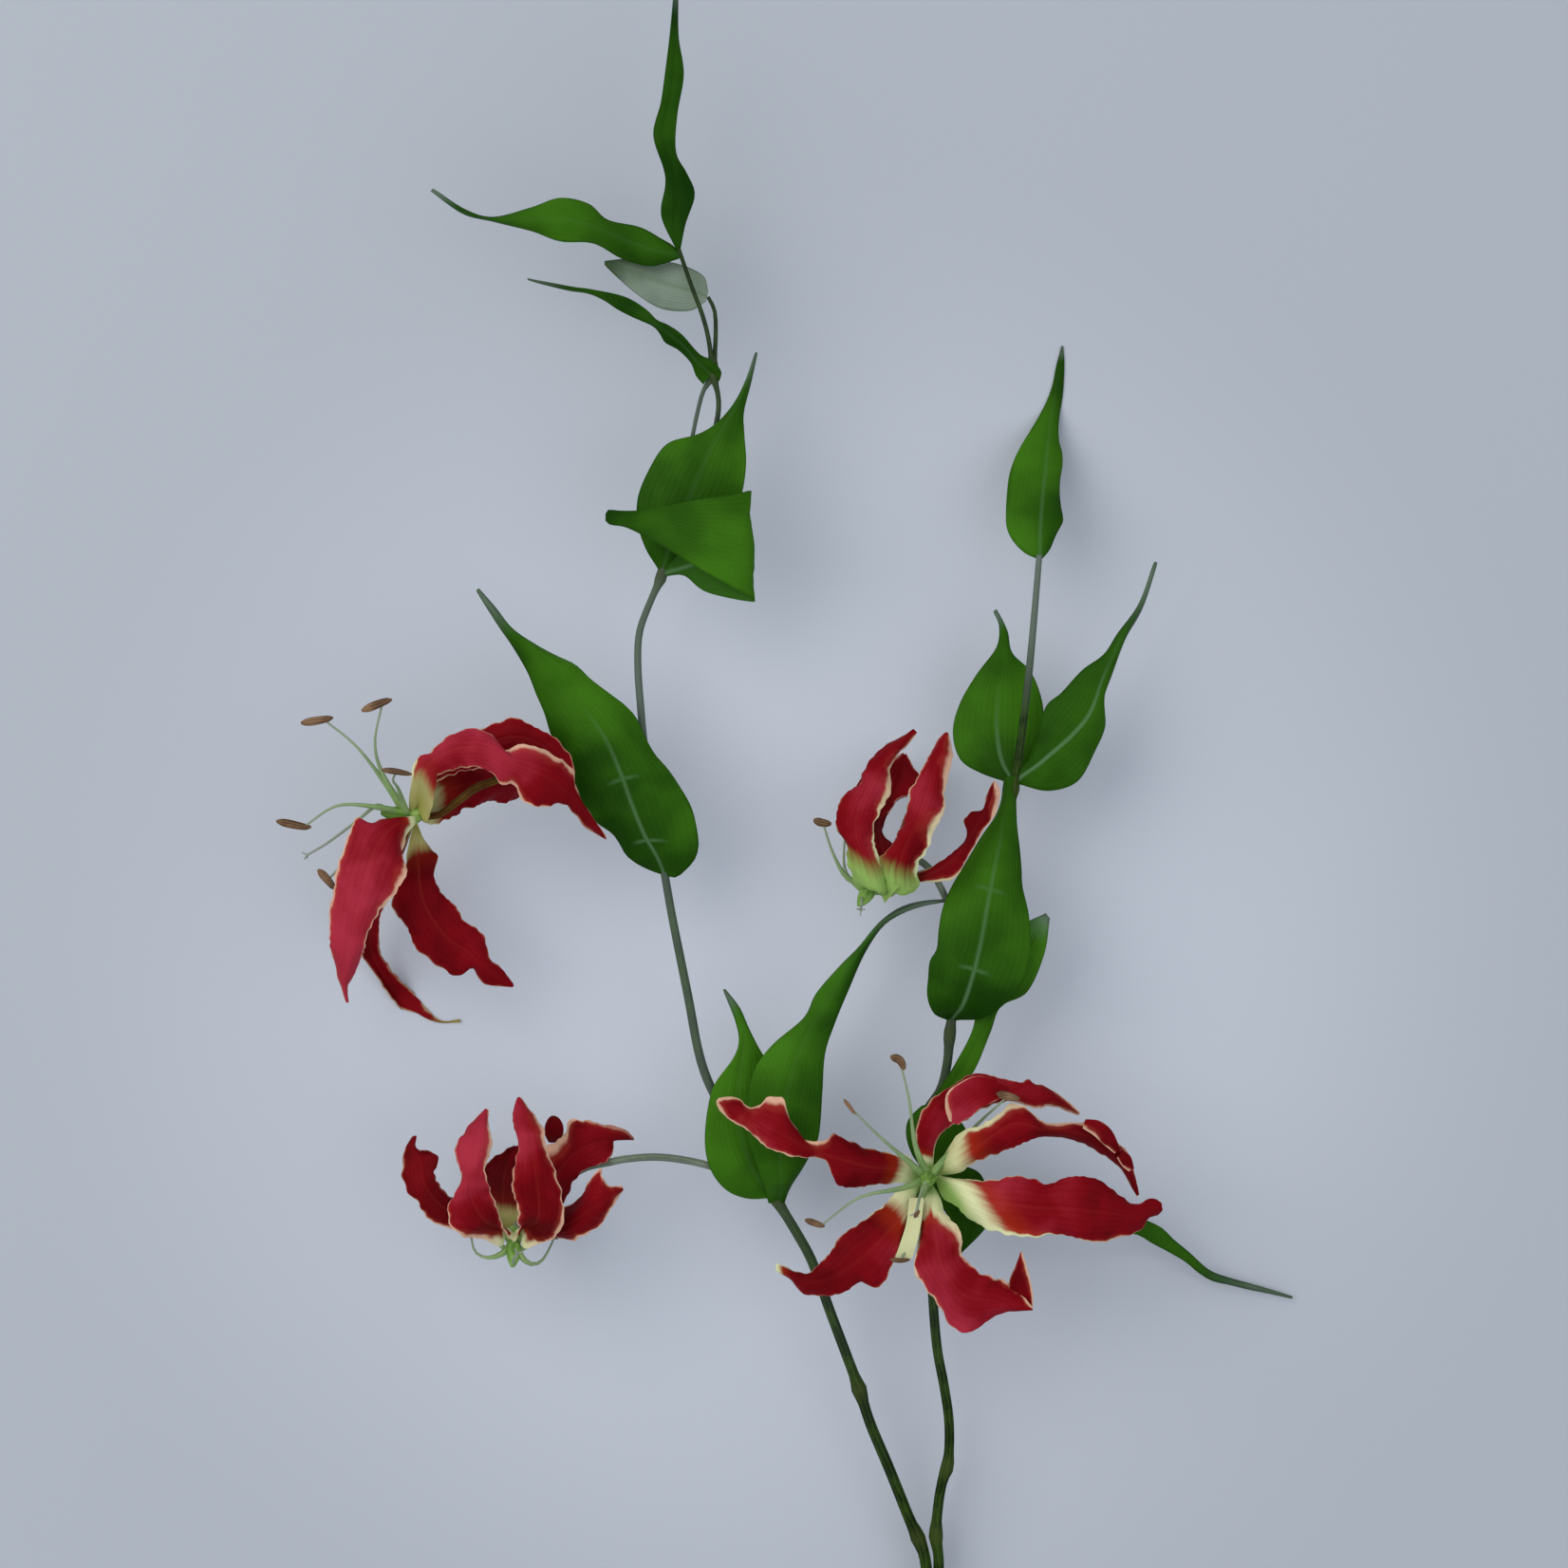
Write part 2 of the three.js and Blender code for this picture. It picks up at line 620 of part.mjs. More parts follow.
        left: [
          [550, 1300], [547, 1278], [540, 1252], [541, 1232], [547, 1210], [543, 1190], [541, 1172],
          [545, 1157],
        ],
        right: [
          [580, 1303], [594, 1285], [593, 1262], [586, 1238], [576, 1212], [572, 1190], [560, 1172],
          [549, 1157],
        ],
        lift: [-3, -3], wave: [0.9, 2.5, 2],
      },
      {
        turn: 180,
        rib: [[532, 1278, 34], [532, 1252, 25], [535, 1230, 16], [545, 1207, 8]],
        left: [[524, 1270], [517, 1240], [517, 1222], [533, 1212], [544, 1206]],
        right: [[545, 1275], [552, 1250], [556, 1225], [547, 1207]],
        lift: [1, 0], wave: [0.8, 2, 0],
      },
      {
        turn: 235,
        rib: [[570, 1278, 34], [590, 1240, 32.5], [610, 1212, 33], [635, 1200, 32], [668, 1203, 30]],
        left: [
          [562, 1258], [570, 1215], [576, 1182], [592, 1178], [603, 1181], [630, 1183], [652, 1190],
          [668, 1202],
        ],
        right: [[580, 1282], [600, 1258], [610, 1238], [640, 1224], [649, 1204], [667, 1204]],
        lift: [2, -2], wave: [1.0, 2, 0],
      },
      {
        turn: 285,
        rib: [[580, 1297, 48], [603, 1287, 55], [628, 1270, 61], [644, 1257, 62], [657, 1249, 61]],
        left: [[585, 1288], [600, 1270], [614, 1258], [624, 1241], [637, 1236], [645, 1248], [656, 1247]],
        right: [[580, 1303], [605, 1306], [628, 1297], [643, 1282], [650, 1262], [657, 1251]],
        lift: [-2, -3], wave: [0.8, 2.5, 0],
      },
    ],
    style: [[541, 1328, 50], [538, 1336, 56], [530, 1345, 62]],
    stamens: [
      {
        filament: [[528, 1319, 44], [510, 1325, 42]],
        anther: [[486, 1288, 36], [496, 1300, 37], [506, 1290, 36]],
      },
      {
        filament: [[551, 1321, 44], [565, 1332, 42]],
        anther: [[576, 1290, 36], [585, 1302, 37], [593, 1292, 36]],
      },
      {
        filament: [[535, 1316, 38], [520, 1305, 28]],
        anther: [[500, 1274, 21], [511, 1280, 21], [522, 1283, 21]],
      },
      {
        filament: [[548, 1316, 38], [562, 1306, 28]],
        anther: [[560, 1283, 21], [571, 1279, 21], [581, 1272, 21]],
      },
      {
        filament: [[538, 1312, 34], [532, 1300, 22]],
        anther: [[519, 1268, 12], [530, 1270, 13], [541, 1272, 14]],
      },
      {
        filament: [[545, 1312, 34], [549, 1300, 22]],
        anther: [[545, 1262, 12], [552, 1272, 12], [559, 1282, 12]],
      },
    ],
  },
  bloom_3: {
    centre: [922, 925, 44],
    facing: [-0.45, -0.75, 0.45],
    tepals: [
      {
        turn: 15,
        rib: [
          [906, 895, 56], [900, 865, 61], [912, 825, 62], [930, 800, 59], [948, 784, 54], [963, 768, 48],
        ],
        left: [
          [895, 893], [882, 875], [880, 852], [890, 835], [904, 818], [916, 801], [932, 787], [950, 777],
          [962, 766],
        ],
        right: [
          [917, 896], [915, 875], [925, 852], [938, 835], [936, 813], [944, 797], [956, 787], [966, 771],
        ],
        lift: [-3, -3], wave: [0.9, 2.5, 0],
      },
      {
        turn: 130,
        rib: [
          [922, 905, 36], [925, 888, 34], [932, 863, 29], [948, 838, 24], [956, 815, 19], [956, 796, 15],
        ],
        left: [[915, 903], [917, 885], [922, 860], [938, 832], [944, 810], [954, 795]],
        right: [[929, 905], [932, 890], [938, 860], [953, 845], [969, 817], [964, 803], [957, 795]],
        lift: [0, 0], wave: [0.7, 2, 0],
      },
      {
        turn: 310,
        rib: [
          [948, 897, 56], [962, 868, 61], [973, 838, 62], [983, 812, 60], [993, 790, 56], [999, 772, 52],
        ],
        left: [[934, 905], [940, 886], [951, 862], [956, 832], [970, 809], [980, 792], [997, 772]],
        right: [[958, 912], [975, 897], [984, 870], [996, 848], [996, 825], [1002, 798], [1001, 773]],
        lift: [-3, -3], wave: [0.9, 2.5, 1],
      },
      {
        turn: 240,
        rib: [
          [955, 926, 49], [985, 920, 50], [1005, 903, 50], [1022, 880, 49], [1037, 858, 48],
          [1045, 840, 47], [1048, 823, 46],
        ],
        left: [
          [955, 918], [982, 914], [1003, 897], [1016, 876], [1017, 860], [1034, 850], [1038, 835],
          [1045, 822],
        ],
        right: [[955, 934], [985, 934], [1010, 915], [1028, 890], [1046, 866], [1055, 845], [1051, 823]],
        lift: [-1, -1], wave: [0.6, 3, 0],
      },
      {
        turn: 75,
        rib: [[903, 900, 34], [893, 872, 26], [898, 842, 20], [913, 816, 15], [930, 800, 10]],
        left: [[895, 905], [882, 878], [886, 843], [903, 814], [928, 798]],
        right: [[912, 897], [907, 868], [912, 842], [926, 818], [932, 802]],
        lift: [0, 0], wave: [0.7, 2, 0],
      },
      {
        turn: 185,
        rib: [[944, 908, 34], [958, 878, 25], [971, 843, 18], [982, 815, 13], [991, 796, 9]],
        left: [[936, 903], [948, 875], [960, 843], [973, 813], [989, 796]],
        right: [[952, 912], [970, 882], [983, 848], [990, 820], [992, 797]],
        lift: [0, 0], wave: [0.7, 2, 1],
      },
    ],
    style: [[908, 946, 50], [906, 958, 54], [900, 968, 58]],
    stamens: [
      {
        filament: [[893, 925, 46], [878, 900, 45]],
        anther: [[857, 864, 44], [867, 867, 44], [876, 868, 44]],
      },
      {
        filament: [[905, 935, 38], [890, 915, 26]],
        anther: [[882, 870, 16], [890, 878, 17], [898, 886, 18]],
      },
      {
        filament: [[915, 940, 36], [905, 925, 24]],
        anther: [[900, 878, 12], [908, 887, 13], [916, 896, 14]],
      },
      {
        filament: [[925, 940, 36], [925, 925, 24]],
        anther: [[921, 886, 13], [930, 891, 13], [939, 896, 13]],
      },
      {
        filament: [[932, 940, 38], [945, 930, 28]],
        anther: [[950, 895, 19], [958, 902, 19], [966, 909, 19]],
      },
      {
        filament: [[935, 943, 42], [952, 932, 35]],
        anther: [[966, 895, 29], [973, 903, 29], [981, 910, 29]],
      },
    ],
  },
  bloom_4: {
    centre: [978, 1240, 48],
    facing: [-0.05, -0.05, 1],
    tepals: [
      {
        turn: 85,
        rib: [
          [945, 1232, 54], [915, 1229, 58], [885, 1221, 61], [850, 1209, 61], [812, 1188, 60],
          [780, 1172, 58], [755, 1160, 56],
        ],
        left: [
          [942, 1245], [915, 1250], [882, 1249], [873, 1230], [862, 1221], [830, 1217], [806, 1207],
          [792, 1195], [770, 1181], [755, 1162],
        ],
        right: [
          [946, 1222], [925, 1211], [900, 1204], [880, 1193], [862, 1202], [843, 1194], [832, 1175],
          [826, 1158], [808, 1160], [788, 1168], [770, 1158], [756, 1158],
        ],
        lift: [-2, -2], wave: [1.0, 3, 0],
      },
      {
        turn: 140,
        rib: [
          [957, 1270, 54], [938, 1295, 57], [910, 1323, 57], [880, 1344, 54], [848, 1350, 50],
          [818, 1335, 46],
        ],
        left: [
          [958, 1290], [948, 1318], [936, 1343], [925, 1360], [908, 1355], [885, 1365], [855, 1368],
          [840, 1356], [818, 1339],
        ],
        right: [
          [945, 1268], [918, 1277], [903, 1295], [884, 1307], [870, 1330], [850, 1341], [832, 1338],
          [818, 1331],
        ],
        lift: [-3, -2], wave: [1.0, 3, 0],
      },
      {
        turn: 185,
        rib: [
          [980, 1275, 55], [984, 1305, 58], [993, 1338, 58], [1015, 1363, 56], [1048, 1372, 54],
          [1078, 1366, 55], [1084, 1343, 58], [1076, 1317, 60],
        ],
        left: [
          [990, 1280], [1000, 1300], [1013, 1326], [1035, 1342], [1058, 1349], [1066, 1348], [1068, 1333],
          [1075, 1317],
        ],
        right: [
          [970, 1280], [972, 1305], [965, 1342], [982, 1370], [1000, 1397], [1022, 1405], [1055, 1388],
          [1092, 1380], [1090, 1350], [1078, 1317],
        ],
        lift: [-2, -3], wave: [0.8, 3, 0],
      },
      {
        turn: 262,
        rib: [
          [1010, 1252, 54], [1045, 1266, 58], [1085, 1272, 61], [1125, 1274, 62], [1165, 1278, 60],
          [1200, 1282, 57], [1224, 1271, 54],
        ],
        left: [
          [1012, 1244], [1045, 1243], [1075, 1239], [1105, 1248], [1125, 1241], [1143, 1238], [1165, 1249],
          [1187, 1266], [1208, 1269], [1224, 1268],
        ],
        right: [
          [1008, 1262], [1030, 1282], [1052, 1298], [1085, 1303], [1115, 1300], [1147, 1308], [1175, 1304],
          [1203, 1297], [1216, 1283], [1225, 1275],
        ],
        lift: [-2, -3], wave: [1.1, 3, 0],
      },
      {
        turn: 305,
        rib: [
          [1004, 1224, 56], [1035, 1204, 62], [1068, 1184, 66], [1100, 1190, 66], [1132, 1193, 62],
          [1160, 1204, 56], [1185, 1226, 50], [1199, 1259, 43],
        ],
        left: [
          [1000, 1215], [1025, 1192], [1050, 1175], [1070, 1162], [1090, 1176], [1105, 1184], [1130, 1183],
          [1150, 1184], [1168, 1200], [1188, 1215], [1200, 1258],
        ],
        right: [
          [1010, 1230], [1045, 1213], [1075, 1202], [1105, 1197], [1135, 1202], [1160, 1215], [1180, 1230],
          [1198, 1260],
        ],
        lift: [-3, -4], wave: [0.9, 3, 0],
      },
      {
        turn: 352,
        rib: [
          [976, 1205, 52], [987, 1178, 55], [1008, 1158, 58], [1035, 1148, 60], [1065, 1149, 59],
          [1098, 1153, 56], [1120, 1162, 53], [1137, 1173, 50],
        ],
        left: [
          [968, 1205], [973, 1178], [990, 1157], [1010, 1140], [1033, 1131], [1060, 1136], [1088, 1141],
          [1107, 1148], [1122, 1159], [1137, 1172],
        ],
        right: [
          [987, 1208], [1005, 1183], [1022, 1177], [1040, 1161], [1065, 1160], [1092, 1167], [1110, 1165],
          [1136, 1175],
        ],
        lift: [-2, -2], wave: [0.8, 3, 0],
      },
    ],
    style: [[977, 1238, 58], [990, 1228, 62], [1010, 1235, 64]],
    stamens: [
      {
        filament: [[964, 1205, 60], [958, 1160, 68]],
        anther: [[938, 1113, 72], [948, 1117, 72], [953, 1127, 72]],
      },
      {
        filament: [[955, 1212, 60], [920, 1192, 68]],
        anther: [[889, 1158, 72], [895, 1166, 72], [901, 1174, 72]],
      },
      {
        filament: [[950, 1252, 60], [905, 1262, 66]],
        anther: [[848, 1285, 68], [865, 1291, 68], [869, 1292, 68]],
      },
      {
        filament: [[968, 1270, 60], [962, 1300, 66]],
        anther: [[938, 1327, 68], [949, 1328, 68], [959, 1327, 68]],
      },
      {
        filament: [[1000, 1215, 62], [1030, 1185, 70]],
        anther: [[1047, 1151, 74], [1061, 1154, 74], [1074, 1158, 74]],
      },
      {
        filament: [[974, 1255, 62], [970, 1268, 72]],
        anther: [[962, 1284, 81], [967, 1279, 81], [972, 1274, 81]],
      },
    ],
  },
};

/** A bloom's middle, the way it faces, and the start and quarter turn of its ring. */
function ringOf({ centre, facing }) {
  const out = vec(...facing).normalize();
  const start = vec(0, 1, 0).addScaledVector(out, -out.y).normalize();
  return { middle: place(centre), out, start, quarter: out.clone().cross(start) };
}

/** A tepal's curves with its base on the ring put before them. */
function rooted(tepal, { middle, start, quarter }) {
  const turn = THREE.MathUtils.degToRad(tepal.turn);
  const spoke = start.clone().multiplyScalar(Math.cos(turn)).addScaledVector(quarter, Math.sin(turn));
  const aside = quarter.clone().multiplyScalar(Math.cos(turn)).addScaledVector(start, -Math.sin(turn));
  const root = middle.clone().addScaledVector(spoke, TEPAL_RING);
  const [first, second] = [1, -1].map((side) => {
    const corner = root.clone().addScaledVector(aside, (side * TEPAL_BASE_WIDTH) / 2);
    const [u, v, height] = toPlan(corner);
    return [u, v, height - root.z];
  });
  const reach = ([u, v], [[toU, toV]]) => Math.hypot(u - toU, v - toV);
  const straight = reach(first, tepal.left) + reach(second, tepal.right);
  const crossed = straight > reach(second, tepal.left) + reach(first, tepal.right);
  return {
    ...tepal,
    rib: [toPlan(root), ...tepal.rib],
    left: [crossed ? second : first, ...tepal.left],
    right: [crossed ? first : second, ...tepal.right],
  };
}

/** A bloom's ovary, style, filaments and anthers, in one mesh. */
function pistilAndStamens({ style, stamens }, { middle, out }) {
  const onAxis = (reach) => middle.clone().addScaledVector(out, reach);
  const { start, length, radii } = OVARY;
  const ovary = bar([onAxis(start), onAxis(start + length)], radii, STALK_SIDES, radii.length - 1);
  const styleRoute = [onAxis(start + length - SUNK), ...style.map(place)];
  const parts = [ovary, bar(styleRoute, [STYLE_RADIUS], THREAD_SIDES, style.length - 1)];
  for (const { filament, anther } of stamens) {
    const hinge = anther[1];
    const route = [onAxis(start + SUNK), ...[...filament, hinge].map(place)];
    parts.push(bar(route, FILAMENT_RADII, THREAD_SIDES, 4));
    parts.push(bar(anther.map(place), ANTHER_RADII, ANTHER_SIDES, 3));
  }
  return fused(parts);
}

// ---------------------------------------------------------------- stems

const CUT_STEM_RADIUS = 2.4;
const FLAT_TO_CORNER = Math.cos(Math.PI / STEM_SIDES);
const LYING = CUT_STEM_RADIUS * FLAT_TO_CORNER; // height of a stem that lies on one of its flats

const STEMS = [
  { path: [[985, 2019, LYING], [985, 1840, LYING]], radii: [CUT_STEM_RADIUS], steps: 1 },
  { path: [[985, 1860, LYING], [984, 1790, 4.2], [982, 1700, 8.5]], radii: [2.3, 2.3], steps: 5 },
  {
    path: [
      [982, 1745, 6.3], [976, 1652, 11], [967, 1620, 12], [958, 1600, 13], [938, 1550, 15], [917, 1500, 17],
      [905, 1463, 18], [889, 1420, 20], [874, 1380, 22], [856, 1330, 24.5], [840, 1300, 26.5],
      [818, 1264, 28],
      [785, 1210, 30], [752, 1152, 31], [737, 1112, 32], [725, 1050, 33], [709, 970, 33.5], [701, 925, 34],
      [690, 860, 34.5], [680, 795, 35], [675, 745, 35], [672, 700, 35], [674, 665, 35.5], [686, 632, 36],
      [697, 607, 36.5], [705, 575, 37], [722, 530, 37.5], [745, 480, 38], [755, 445, 38.5], [757, 420, 40],
      [751, 393, 42], [747, 360, 43], [740, 332, 44], [728, 300, 45.5], [715, 266, 46.8],
    ],
    radii: [2, 1.8, 1.7, 1.6, 1.5, 1.4, 1.25, 1.2, 1.1, 0.9, 0.7],
    steps: 40,
  },
  {
    path: [
      [983, 1745, 6.3], [989, 1652, 10], [986, 1618, 12], [989, 1582, 13], [993, 1560, 14], [999, 1540, 15],
      [1000, 1500, 16], [995, 1462, 18], [988, 1425, 19], [984, 1385, 21], [981, 1330, 23], [978, 1280, 26],
      [976, 1240, 28], [972, 1198, 29.5], [977, 1170, 29.5], [991, 1148, 29.5], [998, 1120, 30],
      [1002, 1078, 30.5], [1012, 1020, 31], [1030, 960, 31.5], [1050, 890, 33], [1063, 850, 34],
      [1069, 822, 35], [1075, 785, 35.5], [1080, 745, 35.5], [1085, 700, 35.5], [1090, 645, 35],
      [1095, 590, 33.7],
    ],
    radii: [2, 1.7, 1.6, 1.6, 1.5, 1.5, 1.5, 1.5, 1.4, 1.2, 1.0],
    steps: 34,
  },
  // The thin strand beside the left branch, and the stalk of its seventh leaf.
  {
    path: [
      [751, 397, 41], [741, 412, 40.5], [734, 438, 39], [729, 462, 38], [718, 510, 37], [704, 560, 36.5],
      [698, 600, 36.5],
    ],
    radii: [0.7, 0.6], steps: 9, sides: ANTHER_SIDES,
  },
  {
    path: [[752, 388, 42], [754, 355, 41.5], [753, 328, 41], [746, 313, 40.5]],
    radii: [0.8, 0.6], steps: 5, sides: ANTHER_SIDES,
  },
  // The stalks of the blooms, each up to the middle of its ring.
  {
    path: [
      [682, 800, 35], [650, 803, 35.5], [615, 808, 36], [592, 811, 37.5], [570, 813, 42], [545, 817, 47.5],
      [525, 822, 50.5], [492, 845, 50], [466, 858, 46.5], [449, 859, 45], [439, 858, 45.8],
    ],
    radii: [1.2, 1.2, 1.4], steps: 12, sides: STALK_SIDES,
  },
  {
    path: [
      [814, 1259, 28.5], [780, 1240, 29.3], [750, 1229, 30.5], [720, 1222, 33], [690, 1219, 36],
      [660, 1221, 38.5], [635, 1227, 40.5], [612, 1238, 41.5], [590, 1254, 41.8], [568, 1270, 41.5],
      [551, 1285, 41], [542, 1297, 41.8],
    ],
    radii: [1.2, 1.2, 1.4], steps: 12, sides: STALK_SIDES,
  },
  {
    path: [
      [1013, 1000, 31], [1006, 970, 31.5], [998, 950, 33], [991, 935, 36], [981, 917, 39], [966, 905, 40.5],
      [950, 899, 40], [936, 903, 40], [924, 921, 43.5],
    ],
    radii: [1.2, 1.1, 1.3], steps: 10, sides: STALK_SIDES,
  },
  {
    path: [[976, 1240, 28], [977, 1241, 36], [978, 1240, 46]],
    radii: [1.7, 1.5], steps: 3, sides: STALK_SIDES,
  },
];

// Swollen joints: plan place, direction along the stem in the plan, and radius.
const JOINTS = [
  { at: [967, 1620, 12], along: [8, 28, -1.5], radius: 2.5 },
  { at: [905, 1464, 18], along: [10, 26, -1.3], radius: 2.6 },
  { at: [818, 1264, 28], along: [15, 22, -1], radius: 2.1 },
  { at: [697, 607, 36.5], along: [-9, 22, -0.5], radius: 2.0 },
  { at: [751, 393, 42], along: [4, 22, -1.5], radius: 1.9 },
  { at: [986, 1617, 12], along: [0, 28, -1.4], radius: 2.4 },
  { at: [997, 1546, 14.8], along: [-6, 22, -1], radius: 2.2 },
  { at: [1001, 1090, 30.4], along: [-3, 26, 0], radius: 2.1 },
  { at: [1067, 832, 34.8], along: [-6, 26, -1], radius: 2.2 },
];

/** A joint of a stem, thickest in its middle. */
function joint({ at, along, radius }) {
  const ends = [-1, 0, 1].map((side) => place(at.map((value, axis) => value + (side * along[axis]) / 2)));
  return bar(ends, [radius * 0.65, radius, radius * 0.65], STALK_SIDES, 2);
}

// ---------------------------------------------------------------- the spray

const mesh = (name, geometry, finish) => {
  const made = new THREE.Mesh(geometry, new THREE.MeshStandardMaterial(finish));
  made.name = name;
  return made;
};

const spray = new THREE.Group();

const stemParts = [
  ...STEMS.map(({ path, radii, steps, sides = STEM_SIDES }) => bar(path.map(place), radii, sides, steps)),
  ...JOINTS.map(joint),
  ...Object.values(BLOOMS).map(({ centre }) => ball(place(centre), RECEPTACLE_RADIUS)),
];
spray.add(mesh("stem", fused(stemParts), STEM_GREEN));

for (const [name, leaf] of Object.entries(LEAVES)) {
  spray.add(mesh(name, blade(leaf, LEAF_CELL), LEAF_GREEN));
}

for (const [name, bloom] of Object.entries(BLOOMS)) {
  const ring = ringOf(bloom);
  const group = new THREE.Group();
  bloom.tepals.forEach((tepal, i) => {
    group.add(mesh(`${name}_tepal_${i + 1}`, blade(rooted(tepal, ring), TEPAL_CELL), CRIMSON));
  });
  group.add(mesh(`${name}_stamens`, pistilAndStamens(bloom, ring), STAMEN_GREEN));
  spray.add(group);
}

export default spray;
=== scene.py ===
"""Glory lily: a cut spray of two leafy branches with four open blooms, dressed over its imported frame.

Metres, +Z up, in the frame's own place. The spray's plan below is in millimetres, and the pieces
are moved to metres as their meshes are made.
"""

import logging
import math
import zlib
from collections.abc import Sequence
from dataclasses import dataclass, replace
from enum import Enum
from functools import cached_property

import bmesh
import bpy
import numpy as np
from mathutils import Matrix, Vector


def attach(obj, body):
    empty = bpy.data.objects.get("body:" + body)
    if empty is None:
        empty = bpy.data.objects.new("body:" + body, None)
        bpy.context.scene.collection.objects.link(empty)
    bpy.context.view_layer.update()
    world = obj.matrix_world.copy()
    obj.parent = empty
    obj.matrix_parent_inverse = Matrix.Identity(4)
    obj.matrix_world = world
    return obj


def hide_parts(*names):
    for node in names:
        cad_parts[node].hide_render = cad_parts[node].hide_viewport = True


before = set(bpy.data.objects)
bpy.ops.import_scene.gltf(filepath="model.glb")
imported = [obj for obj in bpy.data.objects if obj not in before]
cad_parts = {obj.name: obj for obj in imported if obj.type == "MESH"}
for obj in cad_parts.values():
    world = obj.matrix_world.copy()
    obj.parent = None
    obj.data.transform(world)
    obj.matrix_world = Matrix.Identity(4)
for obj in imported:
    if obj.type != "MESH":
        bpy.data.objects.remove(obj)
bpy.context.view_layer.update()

LOG = logging.getLogger("glory_lily")
MM = 0.001
FULL_TURN = 2 * math.pi
# Faces that meet at a larger angle, in radians, keep a sharp edge between them.
SHARP_ANGLE = 1.0
# Stands for a point that a pale base or tip doesn't reach.
NOT_PALE = -9.0
# Steps in which a curve is followed from one of its points to the next.
STEPS_BETWEEN = 30

Point = tuple[float, ...]
Curve = tuple[Point, ...]
Colour = tuple[int, int, int]


# ---------------------------------------------------------------- plan and curves


@dataclass(frozen=True)
class Plan:
    """The plan of the spray, drawn as the eye sees it from straight above.

    A plan point is u to the right, v downwards and a height in mm; what stands nearer the eye is
    drawn larger.

    Attributes:
        unit: mm for one unit of the plan at drawn_height.
        drawn_height: the height, in mm, at which unit holds.
        middle: u and v of the point straight under the eye.
        eye: the place of the eye, in mm.
    """

    unit: float = 0.3
    drawn_height: float = 45.0
    middle: float = 826.0
    eye: Point = (-2.5, 56.0, 1845.0)

    def unit_at(self, height: np.ndarray) -> np.ndarray:
        """Returns mm for one unit of the plan at a height."""
        return self.unit * (self.eye[2] - height) / (self.eye[2] - self.drawn_height)

    def places(self, drawn: Sequence[Point] | np.ndarray) -> np.ndarray:
        """Turns plan points into places.

        Args:
            drawn: rows of u, v and height.

        Returns:
            Rows of x, y and z in mm.
        """
        u, v, height = np.asarray(drawn, float).T
        unit = self.unit_at(height)
        x = (u - self.middle) * unit + self.eye[0]
        y = (self.middle - v) * unit + self.eye[1]
        return np.column_stack([x, y, height])

    def place(self, point: Point) -> np.ndarray:
        """Returns the place of one plan point."""
        return self.places([point])[0]

    def drawn(self, place: np.ndarray) -> Point:
        """Returns the plan point of one place."""
        unit = self.unit_at(place[2])
        u = (place[0] - self.eye[0]) / unit + self.middle
        return (u, self.middle - (place[1] - self.eye[1]) / unit, float(place[2]))


PLAN = Plan()


def curve(text: str) -> Curve:
    """Reads plan points written as "u,v,height u,v,height", without a height where there is none."""
    return tuple(tuple(map(float, point.split(","))) for point in text.split())


def unit_rows(rows: np.ndarray) -> np.ndarray:
    """Returns the rows, each made one long."""
    return rows / np.maximum(np.linalg.norm(rows, axis=-1, keepdims=True), 1e-9)


def curve_points(points: np.ndarray, shares: np.ndarray) -> np.ndarray:
    """Follows a smooth curve through points.

    Args:
        points: what the curve passes through, in order.
        shares: shares of the curve's length, from 0 to 1.

    Returns:
        The point of the curve at each share.
    """
    knots = np.vstack([2 * points[0] - points[1], points, 2 * points[-1] - points[-2]])
    t = np.linspace(0, 1, STEPS_BETWEEN, endpoint=False)[:, None]
    runs = []
    for a, b, c, d in zip(knots, knots[1:], knots[2:], knots[3:]):
        leave, arrive = (c - a) / 2, (d - b) / 2
        square, cube = 3 * (c - b) - 2 * leave - arrive, 2 * (b - c) + leave + arrive
        runs.append(b + leave * t + square * t**2 + cube * t**3)
    dense = np.vstack([*runs, points[-1:]])
    length = np.append(0, np.cumsum(np.linalg.norm(np.diff(dense, axis=0), axis=1)))
    return np.column_stack([np.interp(shares * length[-1], length, axis) for axis in dense.T])


def along(values: Sequence[float], share: float | np.ndarray) -> float | np.ndarray:
    """Returns the value at a share of a length, from values spread evenly along it."""
    return np.interp(share, np.linspace(0, 1, len(values)), values)


def fade(value: np.ndarray, low: float, high: float) -> np.ndarray:
    """Returns a smooth step from 0 at low to 1 at high."""
    t = np.clip((value - low) / (high - low), 0, 1)
    return t * t * (3 - 2 * t)


# ---------------------------------------------------------------- forms


